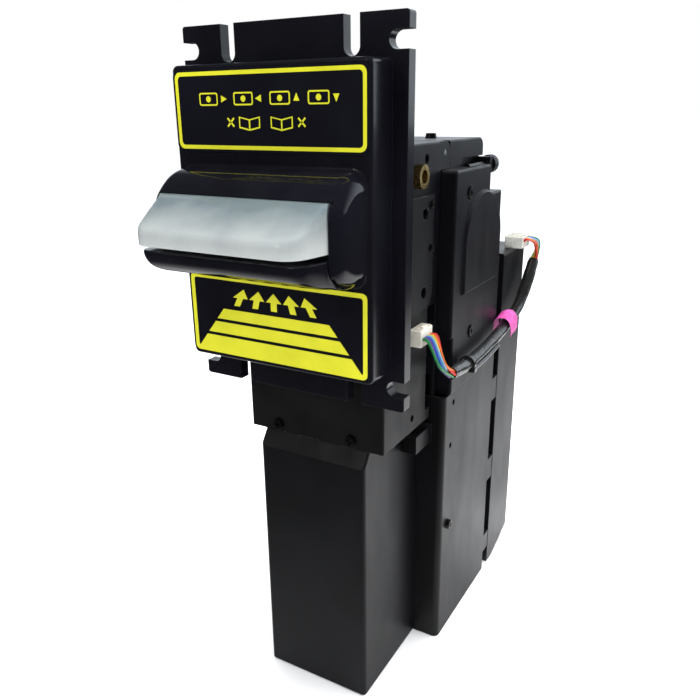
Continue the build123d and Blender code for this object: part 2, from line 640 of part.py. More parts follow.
with BuildPart() as head_chassis:
    wall_outline = (
        (HEAD_Y, HEAD_BOTTOM), (HEAD_Y, WALL_TOP), (118, WALL_TOP), (130, -4), (CHASSIS_BACK, -12),
        (CHASSIS_BACK, CHASSIS_BOTTOM), (STACKER_Y + 0.5, CHASSIS_BOTTOM),
        (STACKER_Y + 0.5, HEAD_BOTTOM),
    )
    for x in (-HEAD_X, HEAD_X - WALL):
        with BuildSketch(side(x)):
            Polygon(*wall_outline, align=None)
        extrude(amount=WALL)
    inner = HEAD_X - WALL
    block((-inner, HEAD_Y, PATH_FLOOR - 2.4), (inner, TURN_Y, PATH_FLOOR))
    # inner guide of the turn and the vertical run below it
    with BuildSketch(Plane.YZ):
        with Locations((TURN_Y, TURN_Z)):
            Circle(TURN_R - PATH_GAP / 2)
            Circle(TURN_R - PATH_GAP / 2 - 2.4, mode=Mode.SUBTRACT)
        Polygon((TURN_Y, TURN_Z), (150, TURN_Z), (150, 0), (TURN_Y, 0), align=None,
                mode=Mode.INTERSECT)
    extrude(amount=INNER_X, both=True)
    block((-INNER_X, PATH_Y - 3.6, CHASSIS_BOTTOM), (INNER_X, PATH_Y - PATH_GAP / 2, TURN_Z))
    for x in (-inner, INNER_X - 1):
        block((x, TURN_Y, TURN_Z), (x + 1.3, CHASSIS_BACK, TURN_Z + 2))
    block((-inner, HEAD_Y, HEAD_BOTTOM), (inner, HEAD_Y + WALL, PATH_FLOOR - 2))
    block((-inner, HEAD_Y, HEAD_BOTTOM), (inner, STACKER_Y + 2.5, HEAD_BOTTOM + WALL))
    block((-inner, STACKER_Y + 0.5, -84), (inner, STACKER_Y + 2.5, HEAD_BOTTOM + WALL))
    block((-inner, STACKER_Y + 0.5, -84), (inner, PATH_Y - 2, -82))
    for x in (-BELT_X, BELT_X):
        block((x - 5.2, FRONT_SHAFT_Y - 8.6, PATH_FLOOR - 5), (x + 5.2, REAR_SHAFT_Y + 8.6, PATH_FLOOR + 1),
              Mode.SUBTRACT)
    for y in (FRONT_SHAFT_Y, REAR_SHAFT_Y):
        rod(side(-HEAD_X - 1), (y, FEED_Z), SHAFT_R + RUN, 2 * HEAD_X + 2, Mode.SUBTRACT)
    rod(side(HEAD_X - WALL - 1), MOTOR, 4.2, WALL + 2, Mode.SUBTRACT)
    rod(side(HEAD_X - WALL), IDLER, IDLER_AXLE_R, WALL + 5.6)
    for y, z in PLATE_HOLES:
        rod(side(-HEAD_X - 1), (y, z), PLATE_HOLE_R + 0.5, 2 * HEAD_X + 2, Mode.SUBTRACT)
    for y, z in PLATE_SCREWS:
        rod(side(-HEAD_X - 1), (y, z), PLATE_SCREW_R, 2 * HEAD_X + 2, Mode.SUBTRACT)
    for y, z in COVER_SCREWS:
        rod(side(-HEAD_X - 1), (y, z), COVER_SCREW_R, 2 * HEAD_X + 2, Mode.SUBTRACT)
    for x, z in BEZEL_SCREWS[2:]:
        rod(front(HEAD_Y + 3), (x, z), BEZEL_SCREW_R, 4, Mode.SUBTRACT)
head_chassis.part.label = "head_chassis"
export_step(head_chassis.part, "parts/head_chassis.step")


def side_plate(x):
    """Steel plate with a big rear corner and two holes for a hanger."""
    with BuildSketch(side(x), mode=Mode.PRIVATE) as plate:
        with BuildLine():
            edge = Polyline((34.7, 6.3), (34.7, HEAD_BOTTOM), (58 - PLATE_CORNER, HEAD_BOTTOM))
            corner = RadiusArc(edge @ 1, (58, HEAD_BOTTOM + PLATE_CORNER), -PLATE_CORNER)
            Polyline(corner @ 1, (58, 6.3), edge @ 0)
        make_face()
        with Locations(*PLATE_HOLES):
            Circle(PLATE_HOLE_R, mode=Mode.SUBTRACT)
        with Locations(*PLATE_SCREWS):
            Circle(PLATE_SCREW_R, mode=Mode.SUBTRACT)
    extrude(plate.sketch, amount=PLATE_T)


with BuildPart() as side_plate_right:
    side_plate(HEAD_X + 0.05)
side_plate_right.part.label = "side_plate_right"
export_step(side_plate_right.part, "parts/side_plate_right.step")

with BuildPart() as side_plate_left:
    side_plate(-HEAD_X - 0.05 - PLATE_T)
side_plate_left.part.label = "side_plate_left"
export_step(side_plate_left.part, "parts/side_plate_left.step")

with BuildPart() as side_plate_screws:
    for at in PLATE_SCREWS:
        screw(side(HEAD_X + 0.05 + PLATE_T), at, 1.9, 1.2, PLATE_SCREW_R, PLATE_T + WALL)
    mirror(about=Plane.YZ)
side_plate_screws.part.label = "side_plate_screws"
export_step(side_plate_screws.part, "parts/side_plate_screws.step")

# ------------------------------------------------------------------ side covers
COVER_OUTLINE = (
    (COVER_Y, COVER_TOP), (COVER_STEP_Y, COVER_TOP), (COVER_STEP_Y, 1.5), (CHASSIS_BACK, 1.5),
    (CHASSIS_BACK, CHASSIS_BOTTOM), (COVER_Y + 2, CHASSIS_BOTTOM), (COVER_Y + 2, -65),
    (COVER_Y, -65),
)


def side_cover(padded):
    """Right-hand cover: an open tray over the gears, with a slot in its top for the thumb screw."""
    with BuildSketch(side(HEAD_X + GAP), mode=Mode.PRIVATE) as tray:
        Polygon(*COVER_OUTLINE, align=None)
        fillet(tray.vertices().group_by(Axis.Y)[-1], 2)
    extrude(tray.sketch, amount=COVER_X - HEAD_X - GAP)
    fillet(faces().sort_by(Axis.X)[-1].edges(), 1.2)
    with BuildSketch(side(HEAD_X + GAP), mode=Mode.PRIVATE) as room:
        Polygon(*COVER_OUTLINE, align=None)
        offset(amount=-1.8, kind=Kind.INTERSECTION)
    extrude(room.sketch, amount=COVER_X - HEAD_X - GAP - 1.8, mode=Mode.SUBTRACT)
    if padded:
        with BuildSketch(side(COVER_X), mode=Mode.PRIVATE) as pad:
            with BuildLine():
                arch = ThreePointArc(
                    (PAD_Y - PAD_R, PAD_TOP - PAD_R), (PAD_Y, PAD_TOP), (PAD_Y + PAD_R, PAD_TOP - PAD_R)
                )
                Polyline(arch @ 1, (PAD_Y + PAD_R, PAD_BOTTOM), (PAD_Y - PAD_R, PAD_BOTTOM), arch @ 0)
            make_face()
        extrude(pad.sketch, amount=PAD_PROUD, taper=35)
    block((HEAD_X + GAP, THUMB_TIP_Y + 1, COVER_TOP - 6), (THUMB_X + 3.2, THUMB_TIP_Y + 6, COVER_TOP))
    block((HEAD_X, THUMB_TIP_Y - 1.5, THUMB_Z - THUMB_SHANK_R - 0.2),
          (THUMB_X + THUMB_SHANK_R + 0.2, COVER_STEP_Y + 1, COVER_TOP + 1), Mode.SUBTRACT)
    for at in COVER_SCREWS:
        rod(side(HEAD_X + GAP), at, 2.6, 7)
        rod(side(COVER_X - 1.0), at, 3.4, 3, Mode.SUBTRACT)
        rod(side(HEAD_X), at, COVER_SCREW_R, 9, Mode.SUBTRACT)


with BuildPart() as gear_cover:
    side_cover(padded=True)
gear_cover.part.label = "gear_cover"
export_step(gear_cover.part, "parts/gear_cover.step")

with BuildPart() as right_twin:
    side_cover(padded=False)
with BuildPart() as left_cover:
    add(right_twin.part.mirror(Plane.YZ))
left_cover.part.label = "left_cover"
export_step(left_cover.part, "parts/left_cover.step")

with BuildPart() as side_cover_screws:
    for at in COVER_SCREWS:
        screw(side(COVER_X - 1.0), at, 3.0, 1.8, COVER_SCREW_R, COVER_X - 1.0 - HEAD_X + WALL)
    mirror(about=Plane.YZ)
side_cover_screws.part.label = "side_cover_screws"
export_step(side_cover_screws.part, "parts/side_cover_screws.step")

# ------------------------------------------------------------------ feed train
for name_y, y in (("front", FRONT_SHAFT_Y), ("rear", REAR_SHAFT_Y)):
    with BuildPart() as shaft:
        rod(side(-HEAD_X - 1), (y, FEED_Z), SHAFT_R, 2 * HEAD_X + (7 if name_y == "rear" else 2))
    shaft.part.label = name_y + "_shaft"
    export_step(shaft.part, f"parts/{name_y}_shaft.step")
    with BuildPart() as pulleys:
        for x in (-BELT_X, BELT_X):
            rod(side(x - BELT_W / 2), (y, FEED_Z), PULLEY_R, BELT_W)
            rod(side(x - BELT_W / 2), (y, FEED_Z), SHAFT_R, BELT_W, Mode.SUBTRACT)
    pulleys.part.label = name_y + "_pulleys"
    export_step(pulleys.part, f"parts/{name_y}_pulleys.step")
    with BuildPart() as pinch:
        for x in (-BELT_X, BELT_X):
            rod(side(x - 4.5), (y, PINCH_Z), PINCH_R, 9)
            rod(side(x - 4.5), (y, PINCH_Z), PINCH_AXLE_R, 9, Mode.SUBTRACT)
    pinch.part.label = name_y + "_pinch_rollers"
    export_step(pinch.part, f"parts/{name_y}_pinch_rollers.step")
    with BuildPart() as axle:
        rod(side(-28.8), (y, PINCH_Z), PINCH_AXLE_R, 57.6)
    axle.part.label = name_y + "_pinch_axle"
    export_step(axle.part, f"parts/{name_y}_pinch_axle.step")

with BuildPart() as feed_belts:
    reach = REAR_SHAFT_Y - FRONT_SHAFT_Y
    for x in (-BELT_X, BELT_X):
        with BuildSketch(side(x - BELT_W / 2)):
            with Locations(((FRONT_SHAFT_Y + REAR_SHAFT_Y) / 2, FEED_Z)):
                SlotCenterToCenter(reach, 2 * (PULLEY_R + BELT_T))
                SlotCenterToCenter(reach, 2 * (PULLEY_R + 0.02), mode=Mode.SUBTRACT)
        extrude(amount=BELT_W)
feed_belts.part.label = "feed_belts"
export_step(feed_belts.part, "parts/feed_belts.step")

REAR_START = TRAIN_ANGLE
IDLER_START = mesh_start(TRAIN_ANGLE, REAR_START, REAR_TEETH, IDLER_TEETH)
MOTOR_START = mesh_start(TRAIN_ANGLE, IDLER_START, IDLER_TEETH, MOTOR_TEETH)

with BuildPart() as rear_shaft_gear:
    spur_gear(side(TRAIN_X), REAR_SHAFT, REAR_TEETH, TRAIN_MODULE, REAR_START, TRAIN_W, SHAFT_R)
rear_shaft_gear.part.label = "rear_shaft_gear"
export_step(rear_shaft_gear.part, "parts/rear_shaft_gear.step")

with BuildPart() as idler_gear:
    spur_gear(side(TRAIN_X), IDLER, IDLER_TEETH, TRAIN_MODULE, IDLER_START, TRAIN_W, IDLER_AXLE_R + RUN)
idler_gear.part.label = "idler_gear"
export_step(idler_gear.part, "parts/idler_gear.step")

with BuildPart() as motor_pinion:
    spur_gear(side(TRAIN_X), MOTOR, MOTOR_TEETH, TRAIN_MODULE, MOTOR_START, TRAIN_W, MOTOR_SHAFT_R / 2)
    rod(side(-21), MOTOR, MOTOR_SHAFT_R, 21 + TRAIN_X + TRAIN_W)
motor_pinion.part.label = "motor_pinion"
export_step(motor_pinion.part, "parts/motor_pinion.step")

with BuildPart() as encoder_disc:
    with BuildSketch(side(-20)):
        with Locations(MOTOR):
            Circle(9)
            with PolarLocations(7, 20):
                Rectangle(2.2, 0.9, mode=Mode.SUBTRACT)
            Circle(MOTOR_SHAFT_R, mode=Mode.SUBTRACT)
    extrude(amount=0.8)
encoder_disc.part.label = "encoder_disc"
export_step(encoder_disc.part, "parts/encoder_disc.step")

with BuildPart() as feed_motor:
    rod(side(-16), MOTOR, 12.5, 44)
    rod(side(28), MOTOR, 4.0, 8.2)
    rod(side(-18), MOTOR, 3.0, 2)
    rod(side(-19), MOTOR, MOTOR_SHAFT_R + RUN, 60, Mode.SUBTRACT)
feed_motor.part.label = "feed_motor"
export_step(feed_motor.part, "parts/feed_motor.step")

# ------------------------------------------------------------------ boards and head
with BuildPart() as upper_sensor_board:
    block((-30, 32, 6.0), (30, 62, 7.6))
    for x in (-20, -4, 12):
        block((x, 36, 7.6), (x + 8, 44, 9.2))
    for x in (-12, 12):
        block((x - 2, 52, 3.0), (x + 2, 58, 6.0))
upper_sensor_board.part.label = "upper_sensor_board"
export_step(upper_sensor_board.part, "parts/upper_sensor_board.step")

with BuildPart() as lower_sensor_board:
    block((-30, 30, -27.6), (30, 64, -26))
    for x in (-20, -2, 14):
        block((x, 36, -29.4), (x + 9, 46, -27.6))
lower_sensor_board.part.label = "lower_sensor_board"
export_step(lower_sensor_board.part, "parts/lower_sensor_board.step")

with BuildPart() as magnetic_head:
    block((-7, 41, PATH_TOP + 0.1), (7, 49, 4))
    fillet(edges().filter_by(Axis.X).group_by(Axis.Z)[0], 1.5)
magnetic_head.part.label = "magnetic_head"
export_step(magnetic_head.part, "parts/magnetic_head.step")

with BuildPart() as main_board:
    block((-32, 24, -99), (32, 25.6, -50))
    for x, z, size in ((-16, -68, 14), (8, -66, 10), (10, -88, 12), (-18, -90, 8)):
        block((x - size / 2, 22.4, z - size / 2), (x + size / 2, 24, z + size / 2))
    for x in (-26, -20):
        rod(front(24), (x, -58), 2.5, 8)
    block((14, 25.6, -62), (31, 34, -53))
    block((16, 28, -60), (29, 35, -55), Mode.SUBTRACT)
main_board.part.label = "main_board"
export_step(main_board.part, "parts/main_board.step")

# ------------------------------------------------------------------ lower bracket
with BuildPart() as lower_bracket:
    bracket_outline = (
        (BRACKET_Y, HEAD_BOTTOM - GAP), (BRACKET_Y, BRACKET_BOTTOM), (BRACKET_FOOT, BRACKET_BOTTOM),
        (BRACKET_FOOT, BRACKET_BOTTOM + 5), (BRACKET_BACK, BRACKET_BOTTOM + 5),
        (BRACKET_BACK, HEAD_BOTTOM - GAP),
    )
    beam(bracket_outline, HEAD_X)
    fillet(edges().filter_by(Axis.Z).group_by(Axis.Y)[0], 1.2)
    block((-HEAD_X + BRACKET_WALL, BRACKET_Y + BRACKET_WALL, BRACKET_BOTTOM + BRACKET_WALL),
          (HEAD_X - BRACKET_WALL, BRACKET_FOOT + 1, 0), Mode.SUBTRACT)
    rod(side(-HEAD_X - 1), (41.5, -98), 1.8, 2 * HEAD_X + 2, Mode.SUBTRACT)
    for x in BRACKET_SCREW_X:
        rod(front(BRACKET_Y + 4), (x, BRACKET_SCREW_Z), BRACKET_SCREW_R, 6, Mode.SUBTRACT)
    block((HEAD_X - 3, 37, -61), (HEAD_X + 1, 49, -53), Mode.SUBTRACT)
lower_bracket.part.label = "lower_bracket"
export_step(lower_bracket.part, "parts/lower_bracket.step")

with BuildPart() as bracket_screws:
    for x in BRACKET_SCREW_X:
        screw(front(BRACKET_Y), (x, BRACKET_SCREW_Z), 2.7, 1.9, BRACKET_SCREW_R, 5)
bracket_screws.part.label = "bracket_screws"
export_step(bracket_screws.part, "parts/bracket_screws.step")

# ------------------------------------------------------------------ stacker housing
with BuildPart() as stacker_front_box:
    beam(((BOX_Y, STACKER_BOTTOM), (BOX_Y, BOX_TOP - 7.7), (BOX_Y + 5.5, BOX_TOP),
          (STACKER_Y - 0.1, BOX_TOP), (STACKER_Y - 0.1, STACKER_BOTTOM)), BOX_X)
    fillet(edges().filter_by(Axis.Z).group_by(Axis.Y)[0], 2.2)
    fillet([e for e in edges().filter_by(Axis.X) if e.center().Y < BOX_Y + 6], 1.0)
    beam(((BOX_Y + WALL, STACKER_BOTTOM + WALL), (BOX_Y + WALL, BOX_TOP - 8.7),
          (BOX_Y + 6.3, BOX_TOP - WALL), (STACKER_Y, BOX_TOP - WALL),
          (STACKER_Y, STACKER_BOTTOM + WALL)), BOX_X - WALL, Mode.SUBTRACT)
stacker_front_box.part.label = "stacker_front_box"
export_step(stacker_front_box.part, "parts/stacker_front_box.step")

with BuildPart() as stacker_body:
    block((-STACKER_X, STACKER_Y, STACKER_BOTTOM), (STACKER_X, STACKER_BACK, STACKER_TOP))
    fillet(edges().filter_by(Axis.Z).group_by(Axis.Y)[0], 3)
    block((-STACKER_X + WALL, STACKER_Y + WALL, STACKER_BOTTOM + WALL),
          (STACKER_X - WALL, STACKER_BACK - 2.4, 0), Mode.SUBTRACT)
    block((-BOX_X + WALL, STACKER_Y - 1, STACKER_BOTTOM + WALL),
          (BOX_X - WALL, STACKER_Y + WALL + 1, BOX_TOP - WALL), Mode.SUBTRACT)
    block((-WINDOW_X, STACKER_BACK - 3, WINDOW_BOTTOM), (WINDOW_X, STACKER_BACK + 1, WINDOW_TOP),
          Mode.SUBTRACT)
    for x in (-STACKER_X, HEAD_X + 0.3):
        # posts beside the turn, and lugs under the bracket
        block((x, CHASSIS_BACK + 0.4, STACKER_TOP - 1),
              (x + STACKER_X - HEAD_X - 0.3, STACKER_BACK, RISER_TOP))
    for x in (-HEAD_X, BOX_X + 0.3):
        block((x, 47, -120), (x + HEAD_X - BOX_X - 0.3, STACKER_Y + 1, -110.7))
    for low, high in TAB_RANGES:
        # fixed knuckles of the door hinge
        block((-STACKER_X, STACKER_BACK - 1, low), (HINGE[0] + KNUCKLE_R, HINGE[1], high))
        rod(Plane.XY.offset(low), HINGE, KNUCKLE_R, high - low)
        rod(Plane.XY.offset(low - 1), HINGE, PIN_R + 0.02, high - low + 2, Mode.SUBTRACT)
    for at in SIDE_HOLES:
        rod(side(-STACKER_X - 1), at, 1.6, 2 * STACKER_X + 2, Mode.SUBTRACT)
    rod(side(-STACKER_X - 1), STACKER_SCREW, STACKER_SCREW_R, 2 * STACKER_X + 2, Mode.SUBTRACT)
stacker_body.part.label = "stacker_body"
export_step(stacker_body.part, "parts/stacker_body.step")

with BuildPart() as stacker_screws:
    screw(side(STACKER_X), STACKER_SCREW, 2.8, 1.9, STACKER_SCREW_R, 3)
    mirror(about=Plane.YZ)
stacker_screws.part.label = "stacker_screws"
export_step(stacker_screws.part, "parts/stacker_screws.step")

with BuildPart() as rear_door:
    door_foot = 32.0
    beam(((DOOR_Y, STACKER_BOTTOM), (DOOR_BACK - door_foot, STACKER_BOTTOM),
          (DOOR_BACK, STACKER_BOTTOM + 9.5), (DOOR_BACK, RISER_TOP), (DOOR_Y, RISER_TOP)), STACKER_X)
    fillet(edges().filter_by(Axis.Z).group_by(Axis.Y)[-1], 3)
    fillet([e for e in faces().sort_by(Axis.Z)[-1].edges() if e.center().Y > DOOR_Y + 1], 1.5)
    beam(((DOOR_Y - 1, STACKER_BOTTOM + WALL), (DOOR_BACK - door_foot, STACKER_BOTTOM + WALL),
          (DOOR_BACK - WALL, STACKER_BOTTOM + 9.5 + WALL), (DOOR_BACK - WALL, RISER_TOP - WALL),
          (DOOR_Y - 1, RISER_TOP - WALL)), STACKER_X - WALL, Mode.SUBTRACT)
    # the door's own side of the bill path, with the pusher's window
    block((DOOR_GUIDE_X[0], DOOR_INNER_Y, STACKER_BOTTOM + 0.5),
          (DOOR_GUIDE_X[1], DOOR_INNER_Y + WALL, RISER_TOP - 6))
    block((-WINDOW_X, DOOR_INNER_Y - 1, WINDOW_BOTTOM), (WINDOW_X, DOOR_INNER_Y + 3, WINDOW_TOP),
          Mode.SUBTRACT)
    for x in DOOR_GUIDE_X:
        rib = x if x < 0 else x - WALL
        block((rib, DOOR_INNER_Y, STACKER_BOTTOM + 0.5), (rib + WALL, DOOR_Y + 4, RISER_TOP - 6))
    for z in (STACKER_BOTTOM + 0.5, RISER_TOP - 8):
        block((-STACKER_X + 1, DOOR_Y, z), (DOOR_GUIDE_X[1], DOOR_Y + 4, z + WALL))
    block((-STACKER_X + 1, DOOR_Y, STACKER_BOTTOM + 1), (DOOR_GUIDE_X[0] + 1, DOOR_Y + WALL, RISER_TOP - 1))
    block((DOOR_GUIDE_X[1] - 1, DOOR_Y, STACKER_BOTTOM + 1), (STACKER_X - 1, DOOR_Y + WALL, RISER_TOP - 1))
    for low, high in TAB_RANGES:
        # closing tabs on the right, moving knuckles of the hinge on the left
        block((DOOR_GUIDE_X[1] + 1, STACKER_BACK + 0.3, low), (STACKER_X - 0.2, DOOR_Y + 1, high))
        block((-STACKER_X, HINGE[1], low - KNUCKLE_STEP), (HINGE[0] + KNUCKLE_R, DOOR_Y + 1, low - 0.3))
        rod(Plane.XY.offset(low - KNUCKLE_STEP), HINGE, KNUCKLE_R, KNUCKLE_STEP - 0.3)
        rod(Plane.XY.offset(low - KNUCKLE_STEP - 1), HINGE, PIN_R + RUN, KNUCKLE_STEP + 1,
            Mode.SUBTRACT)
    # bearing plates of the pusher drive
    for x in (-BEARING_X - WALL, BEARING_X):
        block((x, 153, -154), (x + WALL, DOOR_BACK - 1, -112))
    rod(side(-BEARING_X - 3), PUSHER_SHAFT, PUSHER_SHAFT_R + RUN, 2 * BEARING_X + 6, Mode.SUBTRACT)
    rod(side(BEARING_X - 1), STACK_MOTOR, 3.1, WALL + 2, Mode.SUBTRACT)
rear_door.part.label = "rear_door"
export_step(rear_door.part, "parts/rear_door.step")

with BuildPart() as door_hinge_pin:
    rod(Plane.XY.offset(TAB_RANGES[-1][0] - KNUCKLE_STEP), HINGE, PIN_R,
        TAB_RANGES[0][1] - TAB_RANGES[-1][0] + KNUCKLE_STEP)
door_hinge_pin.part.label = "door_hinge_pin"
export_step(door_hinge_pin.part, "parts/door_hinge_pin.step")

# ------------------------------------------------------------------ pressure plate and pusher
with BuildPart() as pressure_plate:
    block((-39.5, PLATE_DISH - 2.4, -237), (39.5, PLATE_DISH, STACKER_TOP - 3))
    for x in (-39.5, WINDOW_X + 1):
        block((x, PLATE_DISH - 1, -237), (x + 39.5 - WINDOW_X - 1, PLATE_BACK, STACKER_TOP - 3))
    for z in SPRING_Z:
        rod(front(PLATE_DISH - 2.4), (0, z), SPRING_R - 1.6, 4)
pressure_plate.part.label = "pressure_plate"
export_step(pressure_plate.part, "parts/pressure_plate.step")

with BuildPart() as pressure_springs:
    spring_start = BOX_Y + WALL + SPRING_WIRE + 0.2
    spring_length = PLATE_DISH - 2.4 - SPRING_WIRE - 0.2 - spring_start
    for z in SPRING_Z:
        with BuildLine() as coil:
            Helix(spring_length / SPRING_TURNS, spring_length, SPRING_R, center=(0, spring_start, z),
                  direction=(0, 1, 0))
        with BuildSketch(Plane(coil.line @ 0, z_dir=coil.line % 0)):
            Circle(SPRING_WIRE)
        sweep(path=coil.line, is_frenet=True)
pressure_springs.part.label = "pressure_springs"
export_step(pressure_springs.part, "parts/pressure_springs.step")

RACK_PITCH = pi * RACK_MODULE
RACK_LINE = PUSHER_SHAFT[1] - RACK_MODULE * PINION_TEETH / 2 - MESH_SLACK

with BuildPart() as pusher_plate:
    block((-PUSHER_X, PUSHER_Y, -228), (PUSHER_X, PUSHER_Y + PUSHER_T, WINDOW_TOP - 5))
    for x in (-RACK_X, RACK_X):
        block((x - RACK_W / 2, PUSHER_Y + 1, RACK_LINE - 5),
              (x + RACK_W / 2, RACK_END, RACK_LINE - DEDENDUM * RACK_MODULE))
        with BuildSketch(side(x - RACK_W / 2)):
            for k in range(-2, 6):
                y = PUSHER_SHAFT[0] + (k + 0.5) * RACK_PITCH
                half = RACK_PITCH / 4 - BACKLASH / 2
                tip = ADDENDUM * RACK_MODULE
                root = DEDENDUM * RACK_MODULE + 0.1
                slope = tan(PRESSURE)
                Polygon(
                    (y - half - root * slope, RACK_LINE - root),
                    (y + half + root * slope, RACK_LINE - root),
                    (y + half - tip * slope, RACK_LINE + tip), (y - half + tip * slope, RACK_LINE + tip),
                    align=None,
                )
        extrude(amount=RACK_W)
pusher_plate.part.label = "pusher_plate"
export_step(pusher_plate.part, "parts/pusher_plate.step")

with BuildPart() as pusher_pinions:
    for x in (-RACK_X, RACK_X):
        spur_gear(side(x - RACK_W / 2), PUSHER_SHAFT, PINION_TEETH, RACK_MODULE, -90, RACK_W,
                  PUSHER_SHAFT_R)
pusher_pinions.part.label = "pusher_pinions"
export_step(pusher_pinions.part, "parts/pusher_pinions.step")

with BuildPart() as pusher_shaft:
    rod(side(-BEARING_X - 3.5), PUSHER_SHAFT, PUSHER_SHAFT_R, 2 * BEARING_X + 12)
pusher_shaft.part.label = "pusher_shaft"
export_step(pusher_shaft.part, "parts/pusher_shaft.step")

with BuildPart() as pusher_gear:
    spur_gear(side(PUSHER_GEAR_X), PUSHER_SHAFT, PUSHER_GEAR_TEETH, GEAR_MODULE, STACK_ANGLE, 3,
              PUSHER_SHAFT_R)
pusher_gear.part.label = "pusher_gear"
export_step(pusher_gear.part, "parts/pusher_gear.step")

with BuildPart() as stacker_motor_pinion:
    spur_gear(side(PUSHER_GEAR_X), STACK_MOTOR, PUSHER_MOTOR_TEETH, GEAR_MODULE,
              mesh_start(STACK_ANGLE, STACK_ANGLE, PUSHER_GEAR_TEETH, PUSHER_MOTOR_TEETH), 3, 1.0)
    rod(side(-10), STACK_MOTOR, 1.0, 10 + PUSHER_GEAR_X + 3)
stacker_motor_pinion.part.label = "stacker_motor_pinion"
export_step(stacker_motor_pinion.part, "parts/stacker_motor_pinion.step")

with BuildPart() as stacker_motor:
    rod(side(-12), STACK_MOTOR, 9, BEARING_X + 12)
    rod(side(BEARING_X), STACK_MOTOR, 3, WALL)
    rod(side(-13), STACK_MOTOR, 1.0 + RUN, 60, Mode.SUBTRACT)
stacker_motor.part.label = "stacker_motor"
export_step(stacker_motor.part, "parts/stacker_motor.step")

# ------------------------------------------------------------------ harness
with BuildPart() as front_plug:
    block(PLUG_LOW, PLUG_HIGH)
    fillet(edges().filter_by(Axis.Y), 0.8)
front_plug.part.label = "front_plug"
export_step(front_plug.part, "parts/front_plug.step")

with BuildPart() as rear_plug:
    block(REAR_PLUG_LOW, REAR_PLUG_HIGH)
    fillet(edges().filter_by(Axis.Y), 0.8)
rear_plug.part.label = "rear_plug"
export_step(rear_plug.part, "parts/rear_plug.step")

with BuildPart() as harness_sleeve:
    with BuildLine() as run:
        Spline(*SLEEVE_RUN)
    with BuildSketch(Plane(run.line @ 0, z_dir=run.line % 0)):
        Circle(SLEEVE_R)
    sweep(path=run.line)
harness_sleeve.part.label = "harness_sleeve"
export_step(harness_sleeve.part, "parts/harness_sleeve.step")

with BuildPart() as harness_wires:
    for start, bend, end in (FRONT_WIRES, REAR_WIRES):
        for k in range(WIRE_COUNT):
            spread = (k - (WIRE_COUNT - 1) / 2)
            with BuildLine() as wire:
                Spline(
                    (start[0], start[1] + spread * WIRE_STEP, start[2]),
                    (bend[0], bend[1] + spread * WIRE_STEP * 0.8, bend[2]),
                    (end[0] + WIRE_RING[k][0], end[1], end[2] + WIRE_RING[k][1]),
                )
            with BuildSketch(Plane(wire.line @ 0, z_dir=wire.line % 0)):
                Circle(WIRE_R)
            sweep(path=wire.line)
harness_wires.part.label = "harness_wires"
export_step(harness_wires.part, "parts/harness_wires.step")

with BuildPart() as cable_tie:
    with BuildSketch(Plane(SLEEVE_RUN[1], z_dir=run.line % TIE_AT)):
        Circle(TIE_R)
        Circle(SLEEVE_R + WRAP_AIR / 2, mode=Mode.SUBTRACT)
    extrude(amount=1.2, both=True)
cable_tie.part.label = "cable_tie"
export_step(cable_tie.part, "parts/cable_tie.step")

with BuildPart() as tape_flag:
    with BuildSketch(Plane(run.line @ FLAG_AT, z_dir=run.line % FLAG_AT)):
        Circle(TAPE_R)
        Circle(SLEEVE_R + WRAP_AIR, mode=Mode.SUBTRACT)
    extrude(amount=TAPE_W / 2, both=True)
    flag = run.line @ FLAG_AT
    block((flag.X - TAPE_R, flag.Y - TAPE_W / 2, flag.Z - TAPE_TAIL),
          (flag.X - SLEEVE_R - WRAP_AIR, flag.Y + TAPE_W / 2, flag.Z + 2))
tape_flag.part.label = "tape_flag"
export_step(tape_flag.part, "parts/tape_flag.step")
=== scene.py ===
import json
from math import cos, pi, radians, sin

import bmesh
import bpy
from mathutils import Matrix, Vector, noise


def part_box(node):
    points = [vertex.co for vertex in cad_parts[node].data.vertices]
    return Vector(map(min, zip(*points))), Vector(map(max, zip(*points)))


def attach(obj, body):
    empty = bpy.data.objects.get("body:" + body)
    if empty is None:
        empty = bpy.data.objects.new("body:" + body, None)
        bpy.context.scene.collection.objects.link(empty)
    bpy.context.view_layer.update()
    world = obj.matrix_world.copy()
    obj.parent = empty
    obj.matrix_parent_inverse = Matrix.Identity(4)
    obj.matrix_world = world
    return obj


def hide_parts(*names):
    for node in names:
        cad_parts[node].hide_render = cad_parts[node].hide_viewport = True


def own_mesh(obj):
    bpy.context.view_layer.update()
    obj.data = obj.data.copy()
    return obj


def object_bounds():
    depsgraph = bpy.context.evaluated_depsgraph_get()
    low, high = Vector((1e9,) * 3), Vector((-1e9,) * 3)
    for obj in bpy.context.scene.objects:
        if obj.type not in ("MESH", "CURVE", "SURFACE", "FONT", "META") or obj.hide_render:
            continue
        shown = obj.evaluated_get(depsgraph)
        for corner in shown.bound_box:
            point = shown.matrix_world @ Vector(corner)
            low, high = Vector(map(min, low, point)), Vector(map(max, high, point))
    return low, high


# Looks of the bill validator: a finish for every CAD part, and mesh pieces for the lit mouth, the
# printed labels, the cable harness and the springs. Metres; X is the width, Y runs into the
# cabinet, Z is up, as in the CAD.

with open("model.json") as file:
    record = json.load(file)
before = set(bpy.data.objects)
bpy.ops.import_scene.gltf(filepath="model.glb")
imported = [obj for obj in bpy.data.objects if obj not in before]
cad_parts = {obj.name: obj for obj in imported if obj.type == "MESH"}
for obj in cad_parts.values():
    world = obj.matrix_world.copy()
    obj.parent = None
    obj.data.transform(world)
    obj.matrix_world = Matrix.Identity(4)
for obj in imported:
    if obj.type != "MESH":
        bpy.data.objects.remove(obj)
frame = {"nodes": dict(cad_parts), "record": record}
cad_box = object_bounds()
MM = 0.001


def mm(x, y, z):
    """A point given in millimetres."""
    return Vector((x, y, z)) * MM


